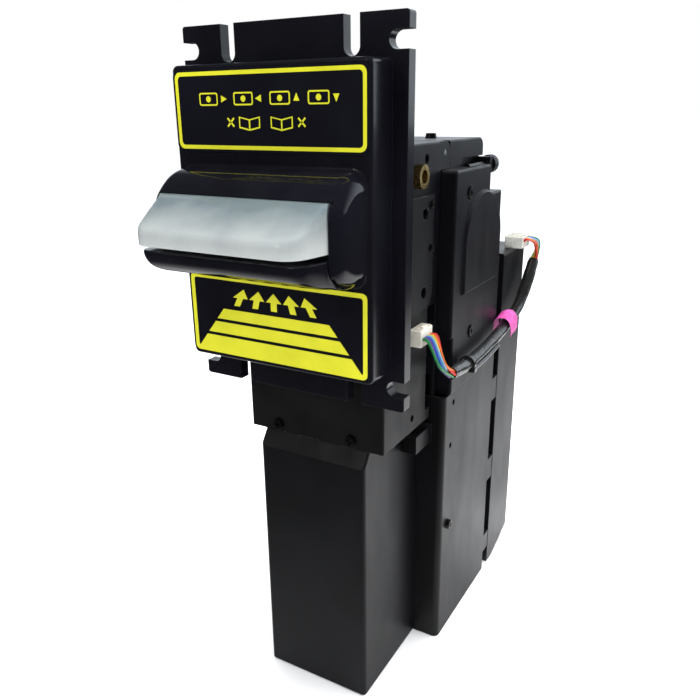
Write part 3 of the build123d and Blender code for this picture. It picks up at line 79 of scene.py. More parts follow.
# ------------------------------------------------------------------ shader helpers
class Nodes:
    """Short calls for building one material's node tree."""

    def __init__(self, name):
        self.material = bpy.data.materials.new(name)
        self.material.use_nodes = True
        self.tree = self.material.node_tree
        self.shader = self.tree.nodes["Principled BSDF"]
        self.place = self.add("ShaderNodeTexCoord").outputs["Object"]

    def add(self, kind, **values):
        """Adds a node and sets its properties."""
        node = self.tree.nodes.new(kind)
        for key, value in values.items():
            setattr(node, key, value)
        return node

    def link(self, source, target):
        self.tree.links.new(source, target)

    def put(self, target, value):
        """Sets a socket to a number, a colour or another socket."""
        if isinstance(value, bpy.types.NodeSocket):
            self.link(value, target)
        else:
            target.default_value = value

    def noise(self, size, detail, stretch=(1, 1, 1)):
        """Noise whose features are about size metres wide, from 0 to 1."""
        mapping = self.add("ShaderNodeMapping")
        mapping.inputs["Scale"].default_value = stretch
        self.link(self.place, mapping.inputs["Vector"])
        node = self.add("ShaderNodeTexNoise")
        node.inputs["Scale"].default_value = 1 / size
        node.inputs["Detail"].default_value = detail
        self.link(mapping.outputs["Vector"], node.inputs["Vector"])
        return node.outputs["Fac"]

    def ramp(self, value, low, high, out_low=0.0, out_high=1.0):
        """Maps low to out_low and high to out_high, and stays between them."""
        node = self.add("ShaderNodeMapRange", clamp=True)
        self.put(node.inputs["Value"], value)
        node.inputs["From Min"].default_value = low
        node.inputs["From Max"].default_value = high
        self.put(node.inputs["To Min"], out_low)
        self.put(node.inputs["To Max"], out_high)
        return node.outputs["Result"]

    def math(self, operation, a, b):
        node = self.add("ShaderNodeMath", operation=operation)
        self.put(node.inputs[0], a)
        self.put(node.inputs[1], b)
        return node.outputs["Value"]

    def mix(self, share, a, b):
        """Colour between a and b."""
        node = self.add("ShaderNodeMix", data_type="RGBA")
        self.put(node.inputs["Factor"], share)
        self.put(node.inputs["A"], a)
        self.put(node.inputs["B"], b)
        return node.outputs["Result"]

    def edges(self, radius):
        """Share of edge, 1 on edges and 0 on flats, used for edge wear and painted edge highlights, and
        the normal softened over the radius.
        """
        bevel = self.add("ShaderNodeBevel", samples=4)
        bevel.inputs["Radius"].default_value = radius
        plain = self.add("ShaderNodeNewGeometry").outputs["Normal"]
        dot = self.add("ShaderNodeVectorMath", operation="DOT_PRODUCT")
        self.link(bevel.outputs["Normal"], dot.inputs[0])
        self.link(plain, dot.inputs[1])
        return self.ramp(dot.outputs["Value"], 0.995, 0.85), bevel.outputs["Normal"]

    def bump(self, height, depth, normal=None):
        """Normal with a relief depth metres high."""
        node = self.add("ShaderNodeBump")
        node.inputs["Distance"].default_value = depth
        self.put(node.inputs["Height"], height)
        if normal is not None:
            self.link(normal, node.inputs["Normal"])
        return node.outputs["Normal"]

    def set(self, **sockets):
        """Sets the shader's inputs by name, with _ for each space."""
        for key, value in sockets.items():
            self.put(self.shader.inputs[key.replace("_", " ")], value)


def grey(value, blue=0.0):
    """Grey with a share of extra blue."""
    return (value, value, value * (1 + blue), 1)


def brighter(colour, gain, lift=0.0):
    """The same colour, lighter."""
    return tuple(min(1, gain * c + lift) for c in colour[:3]) + (1,)


# Dust colour, which also stands in for painted top light on faces that look up
DUST_AND_TOP_LIGHT = (0.32, 0.31, 0.29, 1)
POLISH_FADE = 0.004        # depth over which polish gives way to grain


def moulded(
    name, base, light, rough, grain, depth,
    edge=0.0005, edge_wear_and_highlight=0.3, coat=0.0, dust_and_top_light=0.0, polished_y=None,
):
    """Moulded plastic: mottled colour, fine grain and softened edges that are a little paler, partly from
    edge wear and partly as a painted highlight.

    Dust settles on faces that look up, and everything in front of polished_y is polished.
    """
    n = Nodes(name)
    edge_share, soft = n.edges(edge)
    colour = n.mix(n.ramp(n.noise(0.03, 4), 0.3, 0.7), base, light)
    # paler edges: partly edge wear, partly a painted highlight
    colour = n.mix(n.math("MULTIPLY", edge_share, edge_wear_and_highlight), colour, brighter(light, 2.2, 0.02))
    # Dust and painted top light: faces that look up turn paler in patches
    if dust_and_top_light > 0:
        facing = n.add("ShaderNodeSeparateXYZ")
        n.link(n.add("ShaderNodeNewGeometry").outputs["Normal"], facing.inputs[0])
        patches = n.ramp(n.noise(0.012, 5), 0.35, 0.75)
        dust_and_top_light_share = n.math("MULTIPLY", n.ramp(facing.outputs["Z"], 0.3, 1.0), patches)
        colour = n.mix(n.math("MULTIPLY", dust_and_top_light_share, dust_and_top_light), colour, DUST_AND_TOP_LIGHT)
    roughness = n.ramp(n.noise(0.018, 5, (1, 1, 0.4)), 0.3, 0.7, rough[0], rough[1])
    if polished_y is not None:
        at = n.add("ShaderNodeSeparateXYZ")
        n.link(n.place, at.inputs[0])
        gloss = n.ramp(at.outputs["Y"], polished_y, polished_y + POLISH_FADE, 0.2, 1.0)
        roughness = n.math("MULTIPLY", roughness, gloss)
    n.set(
        Base_Color=colour, Roughness=roughness, Specular_IOR_Level=0.3,
        Normal=n.bump(n.noise(grain, 2), depth, soft), Coat_Weight=coat, Coat_Roughness=0.06,
    )
    return n.material


def metal(name, base, light, rough, brushed=(1, 1, 1)):
    """Turned or pressed metal with fine tool marks, and bright edges that are partly wear and partly a
    painted highlight.
    """
    n = Nodes(name)
    marks = n.noise(0.0004, 2, brushed)
    stain = n.noise(0.01, 4)
    edge_share, soft = n.edges(0.00025)
    colour = n.mix(n.ramp(stain, 0.35, 0.7), base, light)
    # brighter edges: partly wear, partly a painted highlight
    colour = n.mix(n.math("MULTIPLY", edge_share, 0.4), colour, brighter(light, 1.5))
    roughness = n.ramp(n.math("ADD", marks, stain), 0.6, 1.4, rough[0], rough[1])
    n.set(Base_Color=colour, Metallic=1.0, Roughness=roughness, Normal=n.bump(marks, 0.00002, soft))
    return n.material


BARE_STEEL = (0.35, 0.35, 0.36, 1)


def painted(name, base, light, rough):
    """Powder-coated steel: orange peel, and bare metal showing at the sharpest edges."""
    n = Nodes(name)
    peel = n.noise(0.0009, 2)
    edge_share, soft = n.edges(0.0003)
    chips = n.math("MULTIPLY", edge_share, n.ramp(n.noise(0.004, 5), 0.52, 0.6))
    colour = n.mix(n.ramp(n.noise(0.02, 3), 0.3, 0.7), base, light)
    colour = n.mix(chips, colour, BARE_STEEL)
    roughness = n.ramp(n.noise(0.015, 4), 0.3, 0.7, rough[0], rough[1])
    n.set(
        Base_Color=colour, Roughness=roughness, Metallic=n.math("MULTIPLY", chips, 0.9),
        Specular_IOR_Level=0.3, Normal=n.bump(peel, 0.00003, soft),
    )
    return n.material


def rubber(name, base, light, rib):
    """Dusty rubber with ribs across the width."""
    n = Nodes(name)
    ribs = n.noise(rib, 1, (0.02, 1, 1))
    colour = n.mix(n.ramp(n.noise(0.006, 4), 0.3, 0.7), base, light)
    roughness = n.ramp(n.noise(0.004, 3), 0.3, 0.7, 0.6, 0.85)
    n.set(Base_Color=colour, Roughness=roughness, Normal=n.bump(ribs, 0.0001))
    return n.material


def circuit_board():
    """Solder mask with rows of bright pads and darker copper runs."""
    n = Nodes("circuit_board")
    dark, pale, shade = (0.012, 0.09, 0.035, 1), (0.02, 0.15, 0.055, 1), (0.015, 0.11, 0.05, 1)
    cells = n.add("ShaderNodeTexVoronoi", feature="F1", distance="CHEBYCHEV")
    cells.inputs["Scale"].default_value = 260
    n.link(n.place, cells.inputs["Vector"])
    runs = n.add("ShaderNodeTexBrick")
    runs.inputs["Scale"].default_value = 420
    n.link(n.place, runs.inputs["Vector"])
    pads = n.ramp(cells.outputs["Distance"], 0.16, 0.12)
    mask = n.mix(n.ramp(runs.outputs["Fac"], 0.2, 0.8), dark, pale)
    mask = n.mix(n.ramp(n.noise(0.01, 3), 0.3, 0.7), mask, shade)
    n.set(
        Base_Color=n.mix(pads, mask, (0.6, 0.58, 0.5, 1)), Metallic=n.math("MULTIPLY", pads, 0.8),
        Roughness=n.ramp(n.noise(0.003, 2), 0.3, 0.7, 0.3, 0.45), Normal=n.bump(pads, 0.00005),
    )
    return n.material


def milky_lens():
    """Thick milky plastic: cooler and darker high up, in painted shade under the brow, and whiter near the
    tip, in painted light.
    """
    n = Nodes("milky_lens")
    # tip is the painted lit colour, brow the painted shade; they blend by height
    tip, brow = (0.37, 0.385, 0.375, 1), (0.12, 0.15, 0.16, 1)
    low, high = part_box("mouth_lens")
    at = n.add("ShaderNodeSeparateXYZ")
    n.link(n.place, at.inputs[0])
    rise = n.ramp(at.outputs["Z"], low.z + 2 * MM, high.z - 2 * MM)
    cloud = n.ramp(n.noise(0.014, 4), 0.3, 0.7, -0.12, 0.12)
    colour = n.mix(n.ramp(n.math("ADD", rise, cloud), 0.0, 1.0), tip, brow)
    roughness = n.ramp(n.noise(0.02, 5, (0.4, 1, 1)), 0.3, 0.7, 0.1, 0.24)
    n.set(
        Base_Color=colour, Roughness=roughness,
        Subsurface_Weight=0.35, Subsurface_Radius=(0.006, 0.0065, 0.007), Subsurface_Scale=1.0,
        IOR=1.49, Coat_Weight=0.4, Coat_Roughness=0.05, Normal=n.bump(n.noise(0.006, 2), 0.00005),
    )
    return n.material


def film(name, base, light, rough):
    """Printed polyester film: faint haze, tiny scuffs and a soft sheen."""
    n = Nodes(name)
    scuffs = n.noise(0.0012, 6, (1, 1, 6))
    colour = n.mix(n.ramp(n.noise(0.02, 4), 0.3, 0.7), base, light)
    colour = n.mix(n.ramp(scuffs, 0.66, 0.74, 0.0, 0.16), colour, brighter(light, 1.6, 0.03))
    roughness = n.ramp(scuffs, 0.35, 0.7, rough[0], rough[1])
    n.set(
        Base_Color=colour, Roughness=roughness, Specular_IOR_Level=0.25,
        Normal=n.bump(scuffs, 0.00001),
    )
    return n.material


def sheath(name, colour, rough, size=0.0006, depth=0.00002, coat=0.0, clear=0.0):
    """Soft wire insulation, sleeves and connector bodies."""
    n = Nodes(name)
    shade = tuple(0.72 * c for c in colour[:3]) + (1,)
    tone = n.mix(n.ramp(n.noise(0.005, 4), 0.3, 0.7), shade, colour)
    n.set(
        Base_Color=tone, Roughness=n.ramp(n.noise(0.003, 3), 0.3, 0.7, rough[0], rough[1]),
        Normal=n.bump(n.noise(size, 2), depth), Coat_Weight=coat, Transmission_Weight=clear,
    )
    return n.material


def cloth_tape():
    """Thin crinkled pink tape."""
    n = Nodes("cloth_tape")
    weave = n.noise(0.0005, 1, (1, 6, 1))
    crinkle = n.noise(0.003, 4)
    # the colour follows the crinkle relief: painted shade in its hollows and painted light on its crests
    colour = n.mix(n.ramp(crinkle, 0.3, 0.7), (0.46, 0.045, 0.24, 1), (0.62, 0.1, 0.38, 1))
    n.set(
        Base_Color=colour, Roughness=n.ramp(weave, 0.3, 0.7, 0.45, 0.65),
        Normal=n.bump(n.math("ADD", crinkle, n.math("MULTIPLY", weave, 0.2)), 0.0003),
    )
    return n.material


# one finish for each material slot of the record
FINISHES = {
    "bezel_plastic": moulded(
        "bezel_gloss", grey(0.0025, 0.6), grey(0.005, 0.6), (0.18, 0.27), 0.0016, 0.00002,
        edge=0.0006, edge_wear_and_highlight=0.2, coat=0.2, dust_and_top_light=0.01, polished_y=-0.02,
    ),
    "housing_plastic": moulded(
        "housing_satin", grey(0.002, 0.5), grey(0.004, 0.5), (0.34, 0.46), 0.0005, 0.00003,
        dust_and_top_light=0.08,
    ),
    "stacker_plastic": moulded(
        "stacker_satin", grey(0.0022, 0.3), grey(0.0042, 0.3), (0.34, 0.45), 0.0006, 0.00004,
        edge=0.0006, dust_and_top_light=0.05,
    ),
    "lens_plastic": milky_lens(),
    "label_film": film("label_film", grey(0.0025, 1.2), grey(0.004, 1.2), (0.3, 0.42)),
    "circuit_board": circuit_board(),
    "black_steel": metal("black_steel", grey(0.03), grey(0.07), (0.28, 0.42)),
    "painted_steel": painted("painted_steel", grey(0.003, 0.1), grey(0.006, 0.1), (0.4, 0.52)),
    "bright_steel": metal("bright_steel", grey(0.55), grey(0.7), (0.18, 0.32), (0.1, 1, 1)),
    "brass": metal("brass", (0.56, 0.38, 0.12, 1), (0.74, 0.55, 0.24, 1), (0.2, 0.36), (1, 0.2, 0.2)),
    "belt_rubber": rubber("belt_rubber", grey(0.012), grey(0.03), 0.0016),
    "roller_rubber": rubber("roller_rubber", grey(0.03), grey(0.06), 0.001),
    "gear_plastic": moulded(
        "gear_plastic", (0.55, 0.52, 0.45, 1), (0.68, 0.65, 0.58, 1), (0.3, 0.42), 0.0007, 0.00002,
        edge=0.0002, edge_wear_and_highlight=0.1,
    ),
    "connector_plastic": sheath("connector_nylon", (0.78, 0.74, 0.64, 1), (0.32, 0.45), clear=0.12),
    "sleeve_plastic": sheath("sleeve_pvc", grey(0.012), (0.14, 0.26), 0.0022, 0.00035, coat=0.4),
    "wire_plastic": sheath("wire_pvc", (0.25, 0.25, 0.27, 1), (0.3, 0.4)),
    "tape": cloth_tape(),
}


def finish_cad():
    """Gives every CAD node the finish of its record slot."""
    for part in frame["record"]["subparts"]:
        node = frame["nodes"][part["node"]]
        node.data.materials.clear()
        node.data.materials.append(FINISHES[part["material_slot"]])


# ------------------------------------------------------------------ mesh helpers
def piece(name, bm, body, material, stands_for=(), smooth=True):
    """Turns a bmesh into a piece that rides on a body."""
    bmesh.ops.recalc_face_normals(bm, faces=bm.faces)
    mesh = bpy.data.meshes.new(name)
    bm.to_mesh(mesh)
    bm.free()
    if smooth:
        mesh.shade_smooth()
        mesh.set_sharp_from_angle(angle=radians(35))
    mesh.materials.append(material)
    obj = bpy.data.objects.new(name, mesh)
    bpy.context.scene.collection.objects.link(obj)
    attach(obj, body)
    if stands_for:
        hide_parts(*stands_for)
    return obj


def round_corner(start, corner, end, steps):
    """Points of a rounded corner after its start."""
    shares = [k / steps for k in range(1, steps + 1)]
    return [start.lerp(corner, t).lerp(corner.lerp(end, t), t) for t in shares]


def between(start, end, steps):
    """Evenly spaced points between two points, without both ends."""
    return [start.lerp(end, k / steps) for k in range(1, steps)]


def smooth_path(points, steps):
    """Catmull-Rom curve through the points."""
    ends = [2 * points[0] - points[1]] + list(points) + [2 * points[-1] - points[-2]]
    path = []
    for p0, p1, p2, p3 in zip(ends, ends[1:], ends[2:], ends[3:]):
        second = 2 * p0 - 5 * p1 + 4 * p2 - p3
        third = 3 * p1 - p0 - 3 * p2 + p3
        for k in range(steps):
            t = k / steps
            path.append(0.5 * (2 * p1 + (p2 - p0) * t + second * t * t + third * t * t * t))
    return path + [points[-1].copy()]


def skin(bm, columns, hoop=False):
    """Joins closed columns of points, side by side, into a closed solid or a closed hoop."""
    grid = [[bm.verts.new(p) for p in column] for column in columns]
    pairs = list(zip(grid, grid[1:]))
    if hoop:
        pairs.append((grid[-1], grid[0]))
    for left, right in pairs:
        for k in range(len(left)):
            j = (k + 1) % len(left)
            bm.faces.new((left[k], left[j], right[j], right[k]))
    if not hoop:
        bm.faces.new(grid[0])
        bm.faces.new(grid[-1])


def close_sheets(bm, back, front):
    """Makes a thin closed solid from two grids of points."""
    back, front = ([[bm.verts.new(p) for p in row] for row in sheet] for sheet in (back, front))
    rows, columns = len(back) - 1, len(back[0]) - 1
    for i in range(rows):
        for j in range(columns):
            for sheet in (back, front):
                bm.faces.new((sheet[i][j], sheet[i][j + 1], sheet[i + 1][j + 1], sheet[i + 1][j]))
    rim = [(0, j) for j in range(columns)] + [(i, columns) for i in range(rows)]
    rim += [(rows, j) for j in range(columns, 0, -1)] + [(i, 0) for i in range(rows, 0, -1)]
    for (i, j), (m, n) in zip(rim, rim[1:] + rim[:1]):
        bm.faces.new((back[i][j], back[m][n], front[m][n], front[i][j]))


def tube(bm, path, radius, sides):
    """Adds a closed tube along a path; radius takes the share of the path and the angle round it."""
    rings = []
    across = (path[1] - path[0]).orthogonal().normalized()
    for k, at in enumerate(path):
        ahead = (path[min(k + 1, len(path) - 1)] - path[max(k - 1, 0)]).normalized()
        across = (across - ahead * across.dot(ahead)).normalized()
        up = ahead.cross(across)
        ring = []
        for j in range(sides):
            a = 2 * pi * j / sides
            r = radius(k / (len(path) - 1), a)
            ring.append(at + (across * cos(a) + up * sin(a)) * r)
        rings.append(ring)
    skin(bm, rings)


def soft_block(bm, low, high, edge):
    """Adds a block with rounded edges."""
    made = set(bmesh.ops.create_cube(bm, size=1)["verts"])
    centre = (low + high) / 2
    size = high - low
    for v in made:
        v.co = centre + Vector((v.co.x * size.x, v.co.y * size.y, v.co.z * size.z))
    edges = [e for e in bm.edges if e.verts[0] in made]
    bmesh.ops.bevel(bm, geom=edges, offset=edge, segments=3, affect="EDGES", profile=0.5)


# ------------------------------------------------------------------ lit mouth
def mouth_outline(side_x, tip_x, side_y, tip_y, corner):
    """Plan outline of a mouth part, from its left side round the tip to its right side."""
    left, right = Vector((-side_x, side_y)), Vector((side_x, side_y))
    tip_left, tip_right = Vector((-tip_x, tip_y)), Vector((tip_x, tip_y))

    def turn(before, at, after):
        start = at + (before - at).normalized() * corner
        end = at + (after - at).normalized() * corner
        return [start] + round_corner(start, at, end, 8)

    first = turn(left, tip_left, tip_right)
    last = turn(tip_left, tip_right, right)
    left_side = [left] + between(left, first[0], 6)
    right_side = between(last[-1], right, 6) + [right]
    return left_side + first + between(first[-1], last[0], 26) + last + right_side


def mouth_lens():
    """Milky lens: upright rim, falling corners, and a top that slopes up under the brow."""
    low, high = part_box("mouth_lens")
    side_y, crown_y = low.y + 17.5 * MM, low.y + 19.5 * MM
    rim_tip, rim_side = 1.0 * MM, 7.0 * MM          # height of the rim
    soft_tip, soft_side = 2.6 * MM, 0.9 * MM        # rounding of the rim
    foot_soft = 0.6
    swell = mm(0, 0, 0.7)
    crown_taper, crown_drop, crown_run = 0.985, 0.3 * MM, 3 * MM
    outline = mouth_outline(high.x - 0.1 * MM, high.x - 3.1 * MM, side_y, low.y, 8 * MM)
    columns = []
    for x, y in outline:
        share = (y - low.y) / (side_y - low.y)
        foot = Vector((x, y, low.z))
        rim = Vector((x, y, rim_tip + (rim_side - rim_tip) * share))
        crown = Vector((x * crown_taper, crown_y, high.z - crown_drop))
        soft = soft_tip + (soft_side - soft_tip) * share
        start = rim - Vector((0, 0, soft))
        end = rim + (crown - rim).normalized() * soft
        column = [Vector((x, high.y, low.z)), Vector((x, (high.y + y) / 2, low.z))]
        column.append(foot + mm(0, foot_soft, 0))
        column += round_corner(column[-1], foot, foot + mm(0, 0, foot_soft), 3)
        column += [foot.lerp(start, 0.5), start]
        column += round_corner(start, rim, end, 6)
        column += [end.lerp(crown, t) + swell * sin(pi * t) for t in (0.25, 0.5, 0.75)]
        column.append(crown)
        column += [Vector((crown.x, depth, high.z)) for depth in (crown_y + crown_run, high.y)]
        columns.append(column)
    bm = bmesh.new()
    skin(bm, columns)
    piece("lit_lens", bm, "frame", FINISHES["lens_plastic"], ["mouth_lens"])


def lower_jaw():
    """Glossy jaw: a thin lip under the slot and a belly that sweeps back into the chin."""
    low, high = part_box("lower_jaw")
    side_y, keel_y = low.y + 12 * MM, low.y + 20.5 * MM
    lip_soft, lip_drop = 0.7, 1.2
    belly_taper, belly_back, belly_rise = 0.995, 1.5 * MM, 2.2 * MM
    outline = mouth_outline(high.x, high.x - 2.4 * MM, side_y, low.y, 5 * MM)
    columns = []
    for x, y in outline:
        lip = Vector((x, y, high.z))
        drop = lip - mm(0, 0, lip_drop)
        belly = Vector((x * belly_taper, y + belly_back, low.z + belly_rise))
        keel = Vector((x, keel_y, low.z))
        column = [Vector((x, high.y, high.z)), lip + mm(0, lip_soft, 0)]
        column += round_corner(column[-1], lip, drop, 4)
        column += round_corner(drop, belly, keel, 12)
        column.append(Vector((x, high.y, low.z)))
        columns.append(column)
    bm = bmesh.new()
    skin(bm, columns)
    piece("jaw_shell", bm, "frame", FINISHES["bezel_plastic"], ["lower_jaw"])


# ------------------------------------------------------------------ printed labels
PRINT_T = 0.06 * MM        # thickness of the ink
INK = film("yellow_ink", (0.5, 0.49, 0.006, 1), (0.62, 0.6, 0.012, 1), (0.35, 0.5))


def rounded_outline(low, high, radius):
    """XZ outline of a rounded rectangle."""
    left, right = low[0] + radius, high[0] - radius
    bottom, top = low[1] + radius, high[1] - radius
    steps = 6
    points = []
    for x, z, start in ((right, top, 0), (left, top, 90), (left, bottom, 180), (right, bottom, 270)):
        for k in range(steps + 1):
            a = radians(start + 90 * k / steps)
            points.append((x + radius * cos(a), z + radius * sin(a)))
    return points


def plate(bm, outline, y):
    """Adds a filled print with an XZ outline whose back lies at depth y."""
    face = bm.faces.new([bm.verts.new((x, y, z)) for x, z in outline])
    raised = bmesh.ops.extrude_face_region(bm, geom=[face])
    moved = [v for v in raised["geom"] if isinstance(v, bmesh.types.BMVert)]
    bmesh.ops.translate(bm, verts=moved, vec=(0, -PRINT_T, 0))


def ring_plate(bm, outer, inner, y):
    """Adds a printed line between two XZ outlines with the same number of points."""
    layers = [
        [bm.verts.new((x, depth, z)) for x, z in outline]
        for depth in (y, y - PRINT_T) for outline in (outer, inner)
    ]
    back_out, back_in, front_out, front_in = layers
    for k in range(len(outer)):
        j = (k + 1) % len(outer)
        bm.faces.new((front_out[k], front_out[j], front_in[j], front_in[k]))
        bm.faces.new((back_out[k], back_out[j], back_in[j], back_in[k]))
        bm.faces.new((back_out[k], back_out[j], front_out[j], front_out[k]))
        bm.faces.new((back_in[k], back_in[j], front_in[j], front_in[k]))


def rounded_line(bm, low, high, line, outer_r, inner_r, y):
    """Adds a rounded rectangle drawn with a line that thick."""
    outer = rounded_outline(low, high, outer_r)
    inner = rounded_outline((low[0] + line, low[1] + line), (high[0] - line, high[1] - line), inner_r)
    ring_plate(bm, outer, inner, y)


def arrow_head(bm, x, z, size, turn, y):
    """Solid triangle pointing at turn degrees, 0 being right and 90 up."""
    angles = [radians(turn + a) for a in (0, 130, 230)]
    plate(bm, [(x + cos(a) * size, z + sin(a) * size) for a in angles], y)


def note_sign(bm, x, z, y):
    """Outline of a banknote with a round blank in the middle."""
    half_w, half_h, blank_r, sides = 4.6 * MM, 2.4 * MM, 1.15 * MM, 20
    low, high = (x - half_w, z - half_h), (x + half_w, z + half_h)
    rounded_line(bm, low, high, 0.55 * MM, 0.9 * MM, 0.5 * MM, y)
    angles = [2 * pi * k / sides for k in range(sides)]
    plate(bm, [(x + blank_r * cos(a), z + blank_r * sin(a)) for a in angles], y)


def folded_sign(bm, x, z, y):
    """Two outlined leaves that meet at a fold, which lies lower than their outside edges."""
    wide, half_h, dip, line = 5.0 * MM, 2.1 * MM, 1.0 * MM, 0.5 * MM
    fold_line, fold_dip = line * 0.6, dip * 0.9
    outer = [(0, -half_h - dip), (wide, -half_h), (wide, half_h), (0, half_h - dip)]
    inner = [
        (fold_line, line - half_h - fold_dip), (wide - line, line - half_h),
        (wide - line, half_h - line), (fold_line, half_h - fold_dip - line),
    ]
    for side in (-1, 1):
        leaf = [[(x + side * u, z + v) for u, v in outline] for outline in (outer, inner)]
        ring_plate(bm, *leaf, y)


def cross_sign(bm, x, z, y):
    """Two crossed strokes."""
    reach, half = 2.2 * MM, 0.35 * MM
    for turn in (45, 135):
        unit = Vector((cos(radians(turn)), sin(radians(turn))))
        along = unit * reach
        across = Vector((-unit.y, unit.x)) * half
        corners = (along + across, across - along, -across - along, along - across)
        plate(bm, [(x + c.x, z + c.y) for c in corners], y)


def upper_print():
    """Yellow frame round two rows of signs: a note in any way round, and no folded note."""
    low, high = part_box("upper_label")
    y = low.y
    inset = 1.0 * MM
    bm = bmesh.new()
    corner_low, corner_high = (low.x + inset, low.z + inset), (high.x - inset, high.z - inset)
    rounded_line(bm, corner_low, corner_high, 1.5 * MM, 2.6 * MM, 1.6 * MM, y)
    middle_z, row_rise = (low.z + high.z) / 2, 4.3 * MM
    first_x, pitch, arrow_gap = -27 * MM, 17 * MM, 7.4 * MM
    for k, turn in enumerate((0, 180, 90, 270)):
        x = first_x + pitch * k
        note_sign(bm, x, middle_z + row_rise, y)
        arrow_head(bm, x + arrow_gap, middle_z + row_rise, 1.7 * MM, turn, y)
    for side in (-1, 1):
        folded_sign(bm, side * 7.5 * MM, middle_z - row_rise, y)
        cross_sign(bm, side * 16.5 * MM, middle_z - row_rise, y)
    piece("upper_label_print", bm, "frame", INK, smooth=False)


def ramp_bars(bm, low_z, low_half, y):
    """Three bars that narrow upwards like a receding ramp; returns the height of their top."""
    rise, top_half = 20 * MM, 26.5 * MM

    def half_at(z):
        return low_half + (top_half - low_half) * (z - low_z) / rise

    for start, end in ((0, 7.4), (8.8, 13.9), (15.3, 20)):
        z0, z1 = low_z + start * MM, low_z + end * MM
        outline = [(-half_at(z0), z0), (half_at(z0), z0), (half_at(z1), z1), (-half_at(z1), z1)]
        plate(bm, outline, y - PRINT_T / 2)
    return low_z + rise


def ramp_arrows(bm, ramp_top, y):
    """Five arrows that lean in towards the mouth."""
    base_z, shoulder_z, tip_z = (ramp_top + rise * MM for rise in (2.0, 5.6, 9.6))
    stem, barb = 1.5 * MM, 3.9 * MM
    foot_pitch, tip_pitch = 9.6 * MM, 7.6 * MM
    for k in range(-2, 3):
        foot, tip = foot_pitch * k, tip_pitch * k
        middle = (foot + tip) / 2
        plate(bm, [
            (foot - stem, base_z), (foot + stem, base_z), (middle + stem, shoulder_z),
            (middle + barb, shoulder_z), (tip, tip_z), (middle - barb, shoulder_z),
            (middle - stem, shoulder_z),
        ], y)


def lower_print():
    """Yellow frame, a receding ramp and arrows above it."""
    low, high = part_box("lower_label")
    y = low.y
    inset, line = 1.0 * MM, 1.9 * MM
    right, bottom, top = high.x - inset, low.z + inset, high.z - 0.1 * MM
    bm = bmesh.new()
    rounded_line(bm, (low.x + inset, bottom), (right, top), line, 2.2 * MM, 1.2 * MM, y)
    ramp_top = ramp_bars(bm, bottom + 0.5 * MM, right - line * 0.6, y)
    ramp_arrows(bm, ramp_top, y)
    piece("lower_label_print", bm, "frame", INK, smooth=False)


# ------------------------------------------------------------------ harness
WIRE_COLOURS = {
    "red": (0.5, 0.012, 0.012, 1), "orange": (0.62, 0.12, 0.01, 1), "yellow": (0.6, 0.44, 0.03, 1),
    "white_blue": (0.16, 0.34, 0.45, 1), "blue": (0.012, 0.08, 0.42, 1),
    "purple": (0.12, 0.03, 0.26, 1), "green": (0.012, 0.19, 0.05, 1),
}
WIRE_FINISHES = {
    colour: sheath(f"wire_{colour}", value, (0.28, 0.42)) for colour, value in WIRE_COLOURS.items()
}
WAYS = len(WIRE_COLOURS)
WIRE_R = 0.68 * MM
SLEEVE_RUN = [
    mm(49.3, 58, -78), mm(49.3, 80, -80), mm(49.3, 110, -78.8), mm(49.3, 140, -74.6),
    mm(49.6, 159, -69), mm(49.9, 170.5, -60.5), mm(50.3, 177, -52.5), mm(50.3, 184, -45.5),
]
SLEEVE_R = 3.45 * MM
TIE_SHARE = 0.145          # where the tie and the tape sit along the sleeve
TAPE_SHARE = 0.445


def wires(end, face, leave, bulge, mouth, inward, row):
    """Coloured wires that leave a plug's face in a row, bulge out and gather in the sleeve's mouth."""
    bundle_r, stray_step = 1.9, 0.35
    for k, (colour, finish) in enumerate(WIRE_FINISHES.items()):
        across = row * (k - WAYS // 2)
        turn = 2 * pi * k / WAYS
        gathered = mouth + mm(bundle_r * cos(turn), 0, bundle_r * sin(turn))
        stray = mm(stray_step * ((k * 3) % 5 - 2), 0, 0)
        path = smooth_path([
            face + across, face + leave + across * 1.1, bulge + across * 0.75 + stray,
            gathered, gathered + inward * 2 * MM,
        ], 12)
        bm = bmesh.new()
        tube(bm, path, lambda t, a: WIRE_R, 10)
        stands_for = ["harness_wires"] if (end, k) == ("front", 0) else []
        piece(f"{end}_wire_{colour}", bm, "frame", finish, stands_for)


def sleeve():
    """Black sleeve with the faint bulges of the wires inside, and a thicker shrunk part near the rear."""
    path = smooth_path(SLEEVE_RUN, 20)

    def radius(t, a):
        ripple = 0.03 * noise.noise(Vector((t * 60, cos(a) * 1.4, sin(a) * 1.4)))
        lay = 0.02 * cos(3 * a + 26 * t)
        shrunk = 0.07 if 0.66 < t < 0.88 else 0.0
        mouth = -0.06 if t > 0.985 or t < 0.012 else 0.0
        return SLEEVE_R * (0.93 + ripple + lay + shrunk + mouth)

    bm = bmesh.new()
    tube(bm, path, radius, 28)
    piece("cable_sleeve", bm, "frame", FINISHES["sleeve_plastic"], ["harness_sleeve"])
    return path


def place_on(path, share):
    """Point, direction, sideways and upward directions at a share of the path."""
    k = int(share * (len(path) - 1))
    ahead = (path[k + 1] - path[k - 1]).normalized()
    aside = ahead.cross(Vector((0, 0, 1))).normalized()
    return path[k], ahead, aside, aside.cross(ahead)


